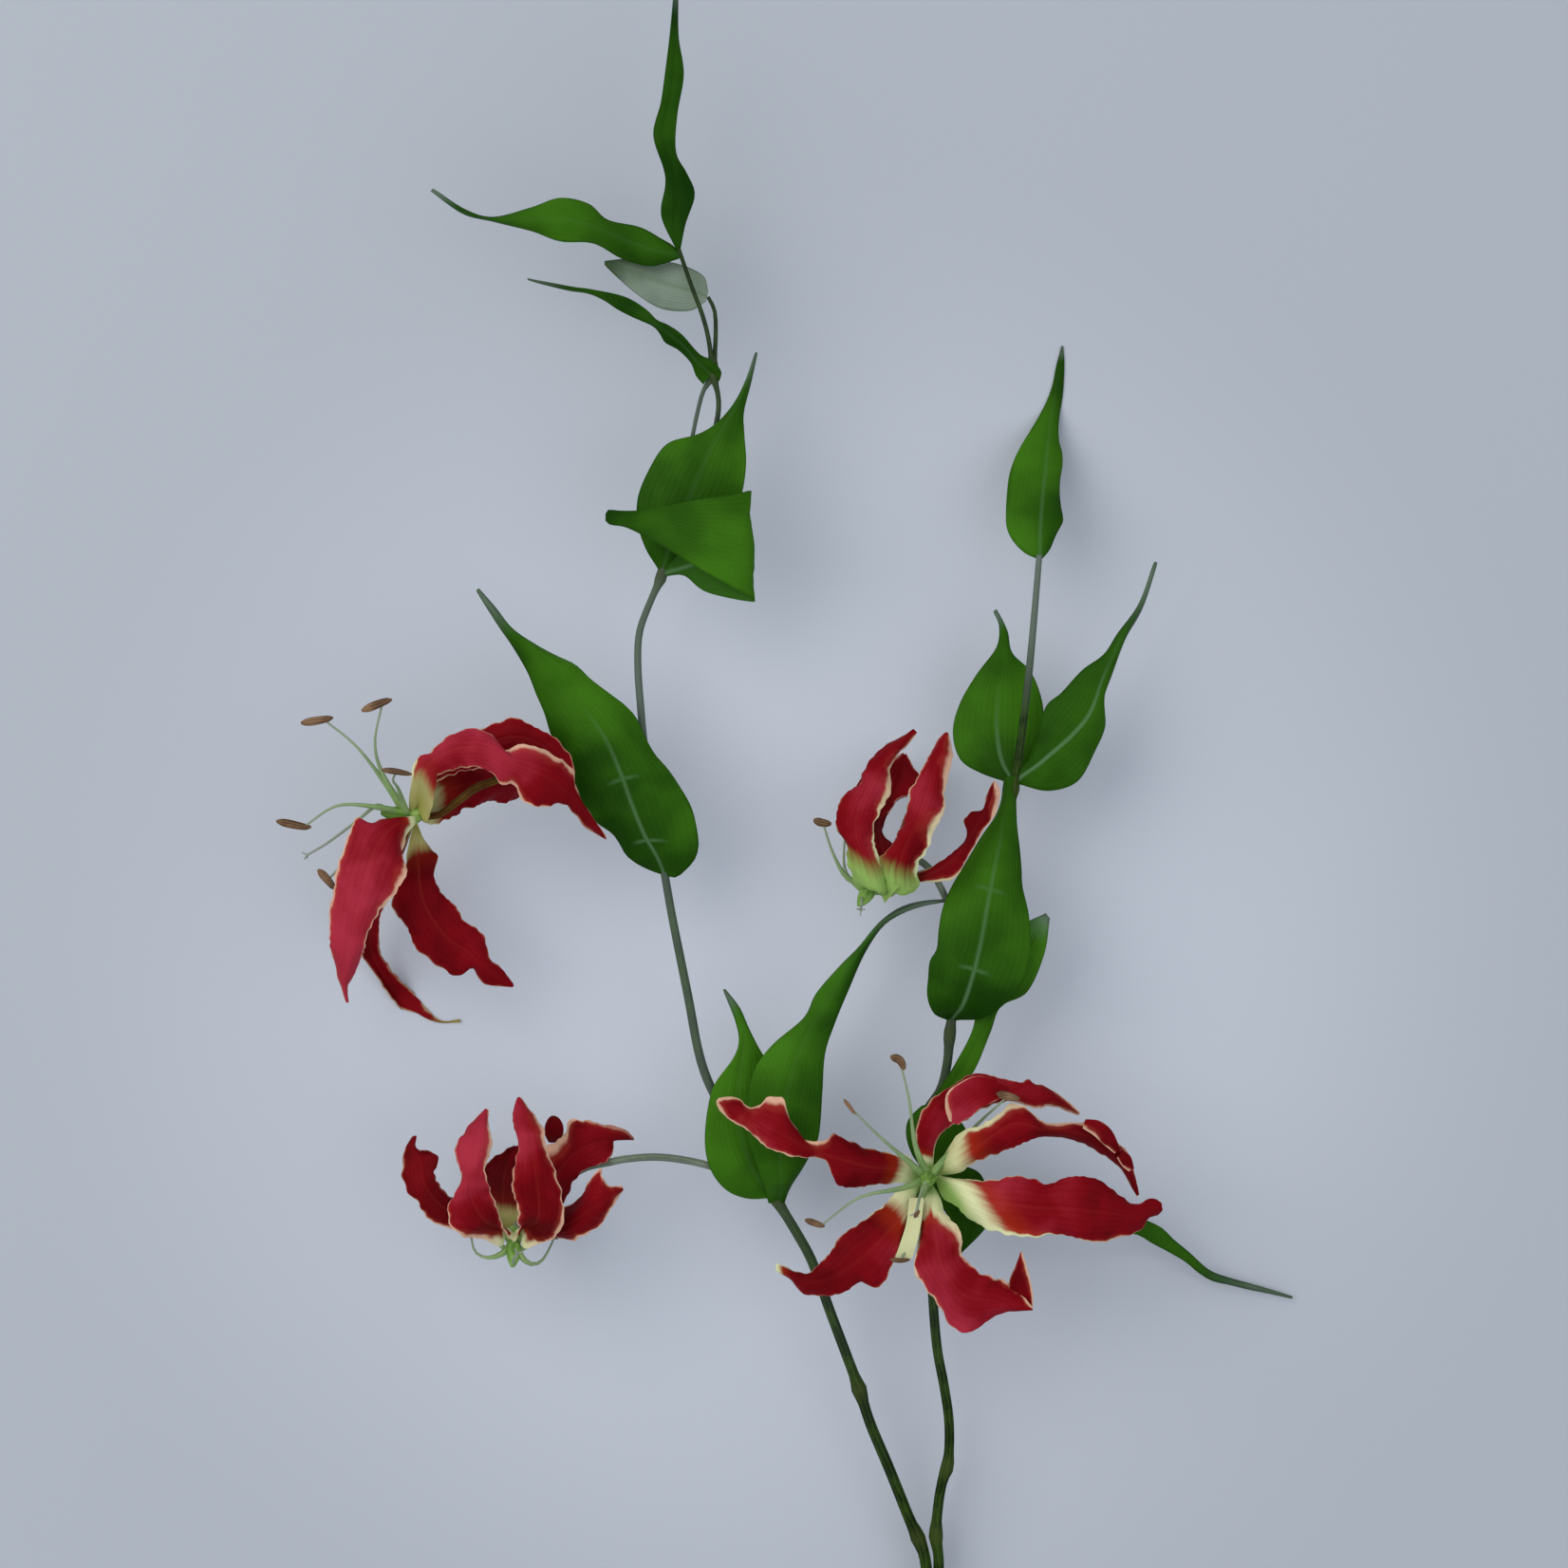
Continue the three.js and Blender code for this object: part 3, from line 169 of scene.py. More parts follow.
@dataclass(frozen=True)
class BladeForm:
    """The curves of a leaf or tepal, all from its base to its tip.

    Attributes:
        rib: plan points of the rib.
        left: plan points of the left margin; the third number is the height above the rib.
        right: the same for the right margin.
        lift: height above the rib of each margin where its points give none.
        wave: how far the margins wave in mm, how often, and the phase.
        tone: dull to bright, at places spread evenly from the base to the tip; partly the blade's own
            darker or paler colour, partly painted shade in folds and painted highlights.
        painted_side_light: how much brighter the right side is painted than the left, as painted light on
            one side, spread along it in the same way.
        pale: share of the length over which the pale base fades.
        slant: how much further the pale base reaches on the right side, as a share of the length.
        tint: colour of the pale base, from -1 for green through cream to 1 for olive.
        tip: share of the length over which the tip pales.
        rim: how wide the pale margin is, left and right, at places spread evenly along it.
        glow: how clearly the pale rib shows, from the base to the tip.
        veins: shares of the length at which a short pale vein crosses the rib.
        turned: whether the back of the blade faces up.
        curls: small rolled parts of its margin, each a blade of its own.
    """

    rib: Curve
    left: Curve
    right: Curve
    lift: tuple[float, float] = (0, 0)
    wave: tuple[float, float, float] = (0, 0, 0)
    tone: tuple[float, ...] = (0.5,)
    painted_side_light: tuple[float, ...] = (0,)
    pale: float = 0.0
    slant: float = 0.0
    tint: float = 0.0
    tip: float = 0.0
    rim: tuple[tuple[float, ...], tuple[float, ...]] = ((1,), (1,))
    glow: tuple[float, ...] = (0.25, 0)
    veins: tuple[float, ...] = ()
    turned: bool = False
    curls: tuple["BladeForm", ...] = ()

    @classmethod
    def read(cls, rib: str, left: str, right: str, **traits: object) -> "BladeForm":
        """Returns a form with its curves read from texts: see curve."""
        return cls(curve(rib), curve(left), curve(right), **traits)


@dataclass(frozen=True)
class TepalForm(BladeForm):
    """A tepal's curves without its base, which stands on the bloom's ring.

    Attributes:
        turn: angle of the base round the ring, in degrees.
    """

    turn: float = 0.0


@dataclass(frozen=True)
class StamenForm:
    """A stamen.

    Attributes:
        filament: plan points of the filament on its way from the ovary.
        anther: plan points of the anther at its end.
        size: the anther's thickness as a share of a full one.
    """

    filament: Curve
    anther: Curve
    size: float = 1.0

    @classmethod
    def read(cls, filament: str, anther: str, size: float = 1.0) -> "StamenForm":
        """Returns a form with its curves read from texts: see curve."""
        return cls(curve(filament), curve(anther), size)


@dataclass(frozen=True)
class BloomForm:
    """One bloom.

    Attributes:
        centre: the middle of the ring where the tepals meet.
        facing: the way its mouth faces.
        style: plan points of the style, from the ovary's end.
        tepals: its six tepals.
        stamens: its six stamens.
    """

    centre: Point
    facing: Point
    style: Curve
    tepals: tuple[TepalForm, ...]
    stamens: tuple[StamenForm, ...]


@dataclass(frozen=True)
class StemForm:
    """A stem.

    Attributes:
        path: its plan points.
        radii: its radii in mm, spread evenly from its start to its end.
        faded: how far it has faded to grey, spread along it in the same way.
        look: the name of its finish.
    """

    path: Curve
    radii: tuple[float, ...]
    faded: tuple[float, ...] = (0,)
    look: str = "STEM"


@dataclass(frozen=True)
class Joint:
    """A swollen joint of a stem: its plan point and its radius in mm."""

    at: Point
    radius: float


# ---------------------------------------------------------------- the plan of this spray

STEMS = {
    "cut_stem": StemForm(
        path=curve("985,2018.8,2.2 985,1930,2.2 985,1850,2.2 984,1790,4.2 982,1700,8.5"),
        radii=(2.2, 2.2, 2.3, 2.2, 1.8),
    ),
    "left_branch": StemForm(
        path=curve(
            "982,1745,6.3 976,1652,11 967,1620,12 958,1600,13 938,1550,15 917,1500,17 905,1463,18 "
            "889,1420,20 874,1380,22 856,1330,24.5 840,1300,26.5 818,1264,28 785,1210,30 752,1152,31 "
            "737,1112,32 725,1050,33 709,970,33.5 701,925,34 690,860,34.5 680,795,35 675,745,35 "
            "672,700,35 674,665,35.5 686,632,36 697,607,36.5 705,575,37 722,530,37.5 745,480,38 "
            "755,445,38.5 757,420,40 751,393,42 747,360,43 740,332,44 728,300,45.5 715,262,46.8"
        ),
        radii=(2, 1.8, 1.7, 1.6, 1.5, 1.4, 1.25, 1.2, 1.05, 0.8, 0.65),
        faded=(0, 0, 0.05, 0.2, 0.55, 0.4, 0.6, 0.8, 0.5, 0.2, 0.05),
    ),
    "right_branch": StemForm(
        path=curve(
            "983,1745,6.3 989,1652,10 986,1618,12 989,1582,13 993,1560,14 999,1540,15 1000,1500,16 "
            "995,1462,18 988,1425,19 984,1385,21 981,1330,23 978,1280,26 976,1240,28 972,1198,29.5 "
            "977,1170,29.5 991,1148,29.5 998,1120,30 1002,1078,30.5 1012,1020,31 1030,960,31.5 "
            "1050,890,33 1063,850,34 1069,822,35 1075,785,35.5 1080,745,35.5 1085,700,35.5 1090,645,35 "
            "1095,585,33.7"
        ),
        radii=(2, 1.7, 1.6, 1.6, 1.5, 1.5, 1.5, 1.5, 1.4, 1.2, 1),
        faded=(0, 0, 0, 0, 0.05, 0.1, 0.2, 0.25, 0.3, 0.2, 0.05, 0, 0.05, 0.85, 0.95),
    ),
    "side_strand": StemForm(
        path=curve("751,397,41 741,412,40.5 734,438,39 729,462,38 718,510,37 704,560,36.5 698,600,36.5"),
        radii=(0.7, 0.6), faded=(0.5, 0.9, 0.9),
    ),
    "seventh_leaf_stalk": StemForm(
        path=curve("752,388,42 754,355,41.5 753,328,41 746,313,40.5"),
        radii=(0.8, 0.6), faded=(0.1,),
    ),
    "bloom_1_stalk": StemForm(
        path=curve(
            "682,800,35 650,803,35.5 615,808,36 592,811,37.5 565,813,41 540,816,44 520,823,44.5 "
            "500,831,44.5 480,846,44.5 464,858,44.5 449,860,45 439,858,45.8"
        ),
        radii=(1.1, 0.9, 1.1, 1.4, 1), look="OLIVE_STALK",
    ),
    "bloom_2_stalk": StemForm(
        path=curve(
            "814,1259,28.5 780,1240,29.3 750,1229,30.5 720,1222,32 690,1219,32.5 660,1221,31 "
            "640,1225,29.5 620,1229,28.5 603,1238,28 588,1253,28.5 568,1269,31 552,1283,36 "
            "542,1297,41.8"
        ),
        radii=(1.2, 1.2, 1.4), look="STALK",
    ),
    "bloom_3_stalk": StemForm(
        path=curve(
            "1013,1000,31 1006,970,31.5 998,950,33 991,935,36 981,917,39 966,905,40.5 950,899,40 "
            "936,903,40 924,921,43.5"
        ),
        radii=(1.2, 1.1, 1.3), look="STALK",
    ),
    "bloom_4_stalk": StemForm(
        path=curve("976,1240,28 977,1241,36 978,1240,46"),
        radii=(1.7, 1.5), look="STALK",
    ),
}

JOINTS = (
    Joint((967, 1620, 12), 2.5),
    Joint((905, 1464, 18), 2.6),
    Joint((818, 1264, 28), 2.1),
    Joint((697, 607, 36.5), 2),
    Joint((751, 393, 42), 1.9),
    Joint((986, 1617, 12), 2.4),
    Joint((997, 1546, 14.8), 2.2),
    Joint((1001, 1090, 30.4), 2.1),
    Joint((1067, 832, 34.8), 2.2),
)

LEAVES = {
    # Left branch, from the bottom up.
    "left_leaf_1": BladeForm.read(
        rib="811,1264,31 790,1225,33.6 778,1180,35 780,1130,36 784,1095,37 778,1070,38 763,1042,39",
        left="809,1266 792,1264 767,1255 750,1235 743,1208 745,1172 753,1142 772,1117 779,1098 775,1075 "
        "762,1043",
        right="813,1262 825,1225,-2 832,1175 815,1130 800,1105 788,1082 779,1062 764,1042",
        lift=(-1, -1), wave=(0.5, 1.5, 0), tone=(0.4, 0.5, 0.7, 0.45), painted_side_light=(-0.1, -0.3, -0.1), tip=0.14,
        glow=(0.06, 0.03),
    ),
    "left_leaf_2": BladeForm.read(
        rib="824,1267,30.4 824,1250,36.5 822,1225,41.5 825,1180,43 835,1130,44 853,1085,44 880,1040,43 "
        "905,1002,42 928,973,41 950,959,40 972,952,38.6 995,949,37.6",
        left="812,1267 807,1250,-1 796,1225,-2 786,1185 792,1135 812,1103 847,1073 860,1047 885,1018 "
        "905,998 926,973 948,957 972,950 995,948",
        right="828,1267 835,1247 850,1222 862,1198 866,1150 869,1110 880,1077 893,1045 910,1005 929,976 "
        "950,962 973,954 995,950",
        lift=(-3, -2), wave=(0.8, 2, 1), tone=(0.3, 0.38, 0.5, 0.4, 0.3), painted_side_light=(0, -0.2, -0.35, -0.1),
        tip=0.26, glow=(0.05, 0.02),
    ),
    "left_leaf_3": BladeForm.read(
        rib="698,920,36 690,899,41 679,880,42.5 665,846,43 654,815,43 637,777,43 612,742,43 587,707,43 "
        "553,680,44 530,655,45 503,621,46",
        left="695,921 684,917 672,911 660,901 652,887 644,877 627,865 613,846 604,825 598,800 582,777 "
        "574,752 565,731 556,708 540,680 524,657 502,622",
        right="703,924 712,924 722,916 732,905 736,890 733,868 728,850 718,832 704,811 690,795 680,777 "
        "670,756 658,743 642,731 622,716 606,701 585,691 565,680 540,663 522,641 504,620",
        lift=(-3, -3), wave=(0.9, 2, 2), tone=(0.3, 0.2, 0.25, 0.2, 0.3, 0.4, 0.5, 0.55, 0.4, 0.25, 0.1),
        painted_side_light=(0.05, 0.1, 0.12, 0.1, 0.2, 0.35, 0.35, 0.1, 0), tip=0.18,
        glow=(0.45, 0.4, 0.35, 0.3, 0.15, 0, 0, 0, 0, 0), veins=(0.12, 0.31),
    ),
    "left_leaf_4": BladeForm.read(
        rib="695,601,38.9 712,560,43 730,515,44 748,475,44 768,440,44 785,405,45 797,371,46",
        left="692,600 680,577 672,553 672,525 684,495 703,468 735,458 757,445 775,425 786,402 796,372",
        right="698,600 730,580 765,555 780,525 786,490 784,458 783,435 790,405 798,372",
        lift=(-3, -2), wave=(0.8, 2, 0.5), tone=(0.25, 0.4, 0.45, 0.4), tip=0.17, glow=(0.08, 0.03),
    ),
    "left_leaf_5": BladeForm.read(
        rib="701.5,605,38.8 720,598,44 745,590,47 780,578,48.5 794,574,51 780,568,54 740,560,54 "
        "690,549,52 638,545,50",
        left="701.5,603 730,565 770,525 791,517 770,521 720,529 680,537 655,538 641,537 638,541",
        right="702.5,608 722,606 745,624 795,634 770,618 740,601 690,571 660,556 643,553 638,549",
        tone=(0.25, 0.38, 0.48, 0.5, 0.35, 0), glow=(0.5, 0.3, 0, 0, 0, 0),
    ),
    "left_leaf_6": BladeForm.read(
        rib="750,396,44.6 736,383,47 722,366,48 707,353,48 696,345,47.5 690,340.5,47 679,332,46.5 "
        "662,323,46 635,312,45 600,304,44 556,294,42",
        left="740,406 733,396 729,383 715,369 701,361 696,352 688,343 668,334 651,325.5 638,317 620,309 "
        "600,306 556,295",
        right="757,402 759,391 748,379 737,373 719,353 704,343 692,337.5 683,328 668,317 651,310 "
        "622,304.5 600,302 556,293",
        lift=(-2, 1), wave=(0.5, 2, 0), tone=(0.1, 0.1, 0.15, 0.05), tip=0.2, glow=(0.12, 0.05, 0, 0),
    ),
    "left_leaf_7": BladeForm.read(
        rib="744,311.5,40.6 720,304,41 690,295,41 660,285,42 637,277,43",
        left="742,317 728,327 700,326 678,315 655,296 637,279",
        right="745,306 741,291 720,280 690,274 660,273 637,275",
        lift=(-2, -1), wave=(0.6, 1.5, 0), tone=(0.7, 0.55, 0.5, 0.45, 0.05), painted_side_light=(-0.1, -0.1, -0.15, 0),
        glow=(0.3, 0.1), turned=True,
    ),
    "left_leaf_8": BladeForm.read(
        rib="712,271.5,47.6 690,264,48 660,253,48 630,240,48 595,231,49 560,231,50 520,231,50 "
        "490,223,49 455,200,47",
        left="711,274 685,280 655,272 625,256 590,254 560,243 520,233 488,225 454,201",
        right="712,268.5 700,255 675,240 640,232 620,215 590,209 560,219 520,229 490,221 456,199",
        lift=(-3, -2), wave=(0.7, 1.5, 0), tone=(0.1, 0.3, 0.65, 0.4, 0.1, 0), tip=0.13, glow=(0.05, 0),
    ),
    "left_leaf_9": BladeForm.read(
        rib="715,263.5,46.9 711,238,48 713,205,50 707,170,51 699,140,52 708,90,52 711,50,51 711,15,50 "
        "712,-22,49",
        left="713,263.5 697,228 701,195 699,178 688,142 697,105 703,60 707,20 710,-22",
        right="717,263.5 722,235 732,205 724,183 712,160 713,120 720,78 715,40 714,0 714,-22",
        lift=(1, -2), wave=(0.6, 2, 1), tone=(0, 0.05, 0.1, 0.1, 0.05), tip=0.15, glow=(0,),
    ),
    # Right branch, from the bottom up.
    "right_leaf_1": BladeForm.read(
        rib="983.5,1253,27 1020,1265,25 1070,1277,23 1120,1283,20 1170,1288,17 1208,1297,14 "
        "1232,1311,12 1252,1325,10 1282,1346,7 1325,1357,4 1361.6,1367,2",
        left="984,1250 1030,1253 1080,1261 1130,1268 1180,1277 1219,1291 1236,1306 1253,1320 1273,1338 "
        "1293,1346 1325,1355 1361.6,1366",
        right="983.5,1256 1020,1275 1070,1292 1120,1298 1170,1298 1197,1300 1213,1309 1232,1319 "
        "1249,1329 1262,1340 1277,1349 1295,1353 1315,1358 1340,1363 1361.6,1368",
        lift=(-1, -1), wave=(0.4, 2, 0), tone=(0.2, 0.2, 0.25, 0.3, 0.15), tip=0.28, glow=(0,),
    ),
    "right_leaf_2": BladeForm.read(
        rib="984.2,1243,36 1003,1250,38.5 1018,1268,39 1022,1292,38 1011,1320,36",
        left="985,1240 1008,1229 1032,1236 1041,1262 1040,1290 1012,1321",
        right="984,1246 992,1270 1008,1296 1010,1319",
        lift=(-1, -1), tone=(0.4, 0.35, 0.4), glow=(0,),
    ),
    "right_leaf_3": BladeForm.read(
        rib="978,1234,36 985,1214,38.5 988,1198,39 982,1180,38 972,1165,36",
        left="975,1234 962,1218 955,1198 957,1180 971,1165",
        right="981,1234 1003,1224 1019,1203 1010,1180 974,1164",
        lift=(-1, -1), tone=(0.35, 0.4, 0.35), glow=(0,),
    ),
    "right_leaf_4": BladeForm.read(
        rib="977,1172,31.8 996,1150,33.3 1015,1125,33.5 1033,1090,33.3 1052,1050,33 1075,1010,33 "
        "1090,982,33 1104,965,32.5",
        left="974,1170 991,1145 1007,1120 1025,1084 1032,1040 1050,1000 1075,976 1102,962",
        right="979,1174 1005,1152 1026,1128 1043,1088 1054,1060 1082,1045 1100,1005 1106,967",
        lift=(0, -1), wave=(0.4, 1.5, 0), tone=(0.3, 0.55, 0.7, 0.6, 0.45, 0.8, 1.5), tip=0.04, glow=(0,),
    ),
    "right_leaf_5": BladeForm.read(
        rib="1003,1074,32.8 1012,1063,38 1018,1050,40.5 1026,1024,42 1034,990,42.5 1040,956,42.5 "
        "1046,924,41.5 1054,884,40 1060,850,38.6 1064,818,36.5",
        left="999,1075 984,1067 977,1050 978,1030 980,1012 987,1000 989,980 993,958 1002,936 1016,912 "
        "1034,882 1048,862 1055,845 1057,830 1059,816",
        right="1007,1075 1040,1070,-1.5 1070,1045,-2 1085,1010 1084,968 1077,935 1076,915 1074,893 "
        "1071,870 1070,846 1070,832 1071,816",
        lift=(-3, -3), wave=(0.9, 2.5, 0), tone=(0.05, 0.1, 0.35, 0.6, 0.65, 0.55, 0.4),
        painted_side_light=(0, 0, -0.2, -0.35, -0.3, 0), glow=(0.5, 0.45, 0.38, 0.3, 0.3, 0.2, 0.1, 0, 0),
        veins=(0.25, 0.56),
    ),
    "right_leaf_6": BladeForm.read(
        rib="1067,824,32.4 1055,800,30 1050,765,28 1052,725,28 1057,690,29 1057,665,30 1048,643,31",
        left="1064,825 1035,815 1012,800 1004,772 1011,742 1028,712 1050,683 1053,660 1047,644",
        right="1070,822 1085,805 1098,770 1098,740 1086,708 1066,688 1061,665 1050,642",
        lift=(-2, -1), wave=(0.6, 1.5, 0), tone=(0.3, 0.45, 0.5, 0.4, 0.2), tip=0.13,
        glow=(0.55, 0.45, 0.15, 0, 0, 0),
    ),
    "right_leaf_7": BladeForm.read(
        rib="1076,823,37 1090,809,37.8 1104,797,38 1130,774,38 1149,750,38 1163,712,39 1182,672,40 "
        "1202,638,40 1218,592,39",
        left="1074,820 1086,795 1096,765 1103,743 1118,730 1140,706 1163,690 1178,668 1200,637 1216,592",
        right="1077,827 1105,833 1135,823 1153,792 1164,765 1162,738 1171,710 1185,673 1204,640 "
        "1219,593",
        lift=(-2, -3), wave=(0.9, 2, 0), tone=(0.15, 0.2, 0.2, 0.2, 0.15), painted_side_light=(0.1, 0.15, 0), tip=0.3,
        glow=(0.55, 0.5, 0.4, 0.1, 0, 0),
    ),
    "right_leaf_8": BladeForm.read(
        rib="1095,588,33.6 1096,560,30 1098,530,24 1101,500,16 1104,470,8 1107,440,2 1111,414,-1 "
        "1116,388,-1 1119,365,-1",
        left="1092,588 1080,583 1068,571 1061,556 1060,540 1061,520 1063,503 1068,487 1076,470 1086,453 "
        "1096,436 1104,419 1109,404 1112,388 1118,365",
        right="1098,588 1106,578 1112,565 1119,552 1119.5,545 1117.5,535 1116,520 1116.5,504 1119,490 "
        "1119,478 1116,466 1115,453 1116,440 1119,420 1120.5,400 1121,382 1120,365",
        lift=(-1, -1), wave=(0.5, 2, 0), tone=(0.45, 0.42, 0.5, 0.35, 0.2), painted_side_light=(-0.1, -0.25, -0.2, 0),
        tip=0.07, glow=(0.22, 0.15, 0.05, 0),
    ),
}

BLOOM_1 = BloomForm(
    centre=(438, 858, 46), facing=(-0.9, 0.05, 0.35),
    style=curve("398,848,52 372,868,50 345,888,47 325,900,45"),
    tepals=(
        TepalForm.read(
            rib="443,832,52 446,812,57 470,792,63 505,788,66 545,806,66 585,825,62 612,850,57 "
            "638,883,53",
            left="432,864 431,846 433,825 435,808 441,797 450,796 460,788 471,777 484,771 500,768 "
            "518,774 532,792 550,784 575,792 603,810 608,833 620,856 638,881",
            right="449,866 456,848 458,830 460,818 470,813 482,810 496,807.5 510,809.5 521,815 528,827 "
            "539,826 546,831 551,843 560,848 570,850 589,846 601,852 614,867 626,877 639,884",
            turn=315, lift=(-4, -3), wave=(1, 3, 0), tone=(0.55, 0.75, 0.75, 0.4, 0.1), painted_side_light=(-0.1,),
            pale=0.2, tint=0.75,
            rim=((3.2, 2.4, 0.6, 0.3, 0.3, 1, 1.6, 1.8, 1.6, 0.8), (0, 0.2, 0.3, 0.5, 0.6, 0.8, 0.4, 0.3)),
        ),
        TepalForm.read(
            rib="455,815,46 480,795,50 515,783,52 545,776,53 575,788,53 605,817,53",
            left="450,805 475,783 500,772 520,763 540,757 560,764 583,777 600,795 606,815",
            right="458,825 490,812 530,806 565,806 590,811 604,819",
            turn=5, lift=(-2, -1), wave=(1, 2.5, 1), tone=(0.2, 0.4, 0.3, 0.3), pale=0.1, tint=0.5,
            rim=((0.4,), (0.6,)),
        ),
        TepalForm.read(
            rib="452,848,42 475,832,41 500,826,38 525,823,32 548,822,24 558,823,16 566,824,10",
            left="440,843 448,822 462,806 485,801 510,800 535,812 555,822 567,822",
            right="446,866 456,868 470,864 482,855 496,850 507,847 519,843 533,846 542,842 549,837 "
            "560,830 566,826",
            turn=60, lift=(1, 0), wave=(0.8, 2.5, 0), tone=(0.2, 0.3, 0.4, 0.4), pale=0.24, tint=0.6,
            rim=((0.2,), (0.2,)),
        ),
        TepalForm.read(
            rib="418,868,56 398,888,61 386,920,63 375,960,62 367,1000,58 362,1030,52 366,1056,46",
            left="428,880 425,903 427,923 417,940 398,962 387,985 382,1005 373,1025 366,1040 367,1056",
            right="405,864 390,868 376,860 365,888 357,910 352,935 347,965 350,995 354,1022 360,1042 "
            "365,1056",
            turn=240, lift=(-3, -3), wave=(1, 3, 0), tone=(0.5, 0.7, 0.95, 0.9), pale=0.07,
            rim=((1.4, 1.6, 1.2, 0.5, 0.4), (0.3, 0.8, 0.5, 0.4)),
        ),
        TepalForm.read(
            rib="420,882,36 403,922,30 392,965,22 391,1000,12 408,1033,3 432,1059,-0.6 462,1076,-0.4 "
            "485,1075,0.6",
            left="430,885 415,925 401,965 400,1000 413,1023 436,1047 463,1074 485,1074",
            right="410,880 390,925 381,970 380,1003 398,1030 420,1060 438,1067 460,1077 485,1077",
            turn=115, wave=(0.6, 3, 0), tone=(0.1, 0.1, 0.2, 0.3), pale=0.08, tint=1, tip=0.12,
            rim=((0.3,), (0.3,)),
        ),
        TepalForm.read(
            rib="440,885,41 441,915,40 447,952,38 468,985,36 492,1003,34 514,1022,32 541,1039,30",
            left="447,886 461,904 457,918 462,938 480,954 487,969 500,976 511,990 516,1010 528,1021 "
            "541,1037",
            right="431,888 426,918 413,950 429,979 440,1000 464,1019 482,1028 497,1020 511,1036 "
            "540,1040",
            turn=180, lift=(-2, -2), wave=(1, 3, 1), tone=(0.05, 0.15, 0.3, 0.35), pale=0.2, tint=0.8,
            rim=((0.3,), (0.3,)), glow=(0.35, 0),
        ),
    ),
    stamens=(
        StamenForm.read("405,824,54 375,786,58", "317,762,60 341,758,60 351,756,60"),
        StamenForm.read("403,815,56 395,782,62", "381,749,66 403,740,66 413,737,66"),
        StamenForm.read("395,850,54 355,849,53", "291,865,49 320,871,50 328,871,50"),
        StamenForm.read("420,832,60 414,822,68", "402,811,75 418,813,75 434,816,75", 0.75),
        StamenForm.read("405,872,46 375,898,46", "335,916,47 345,927,47 353,937,47"),
        StamenForm.read("412,868,38 400,878,28", "376,880,19 386,890,20 396,900,20"),
    ),
)

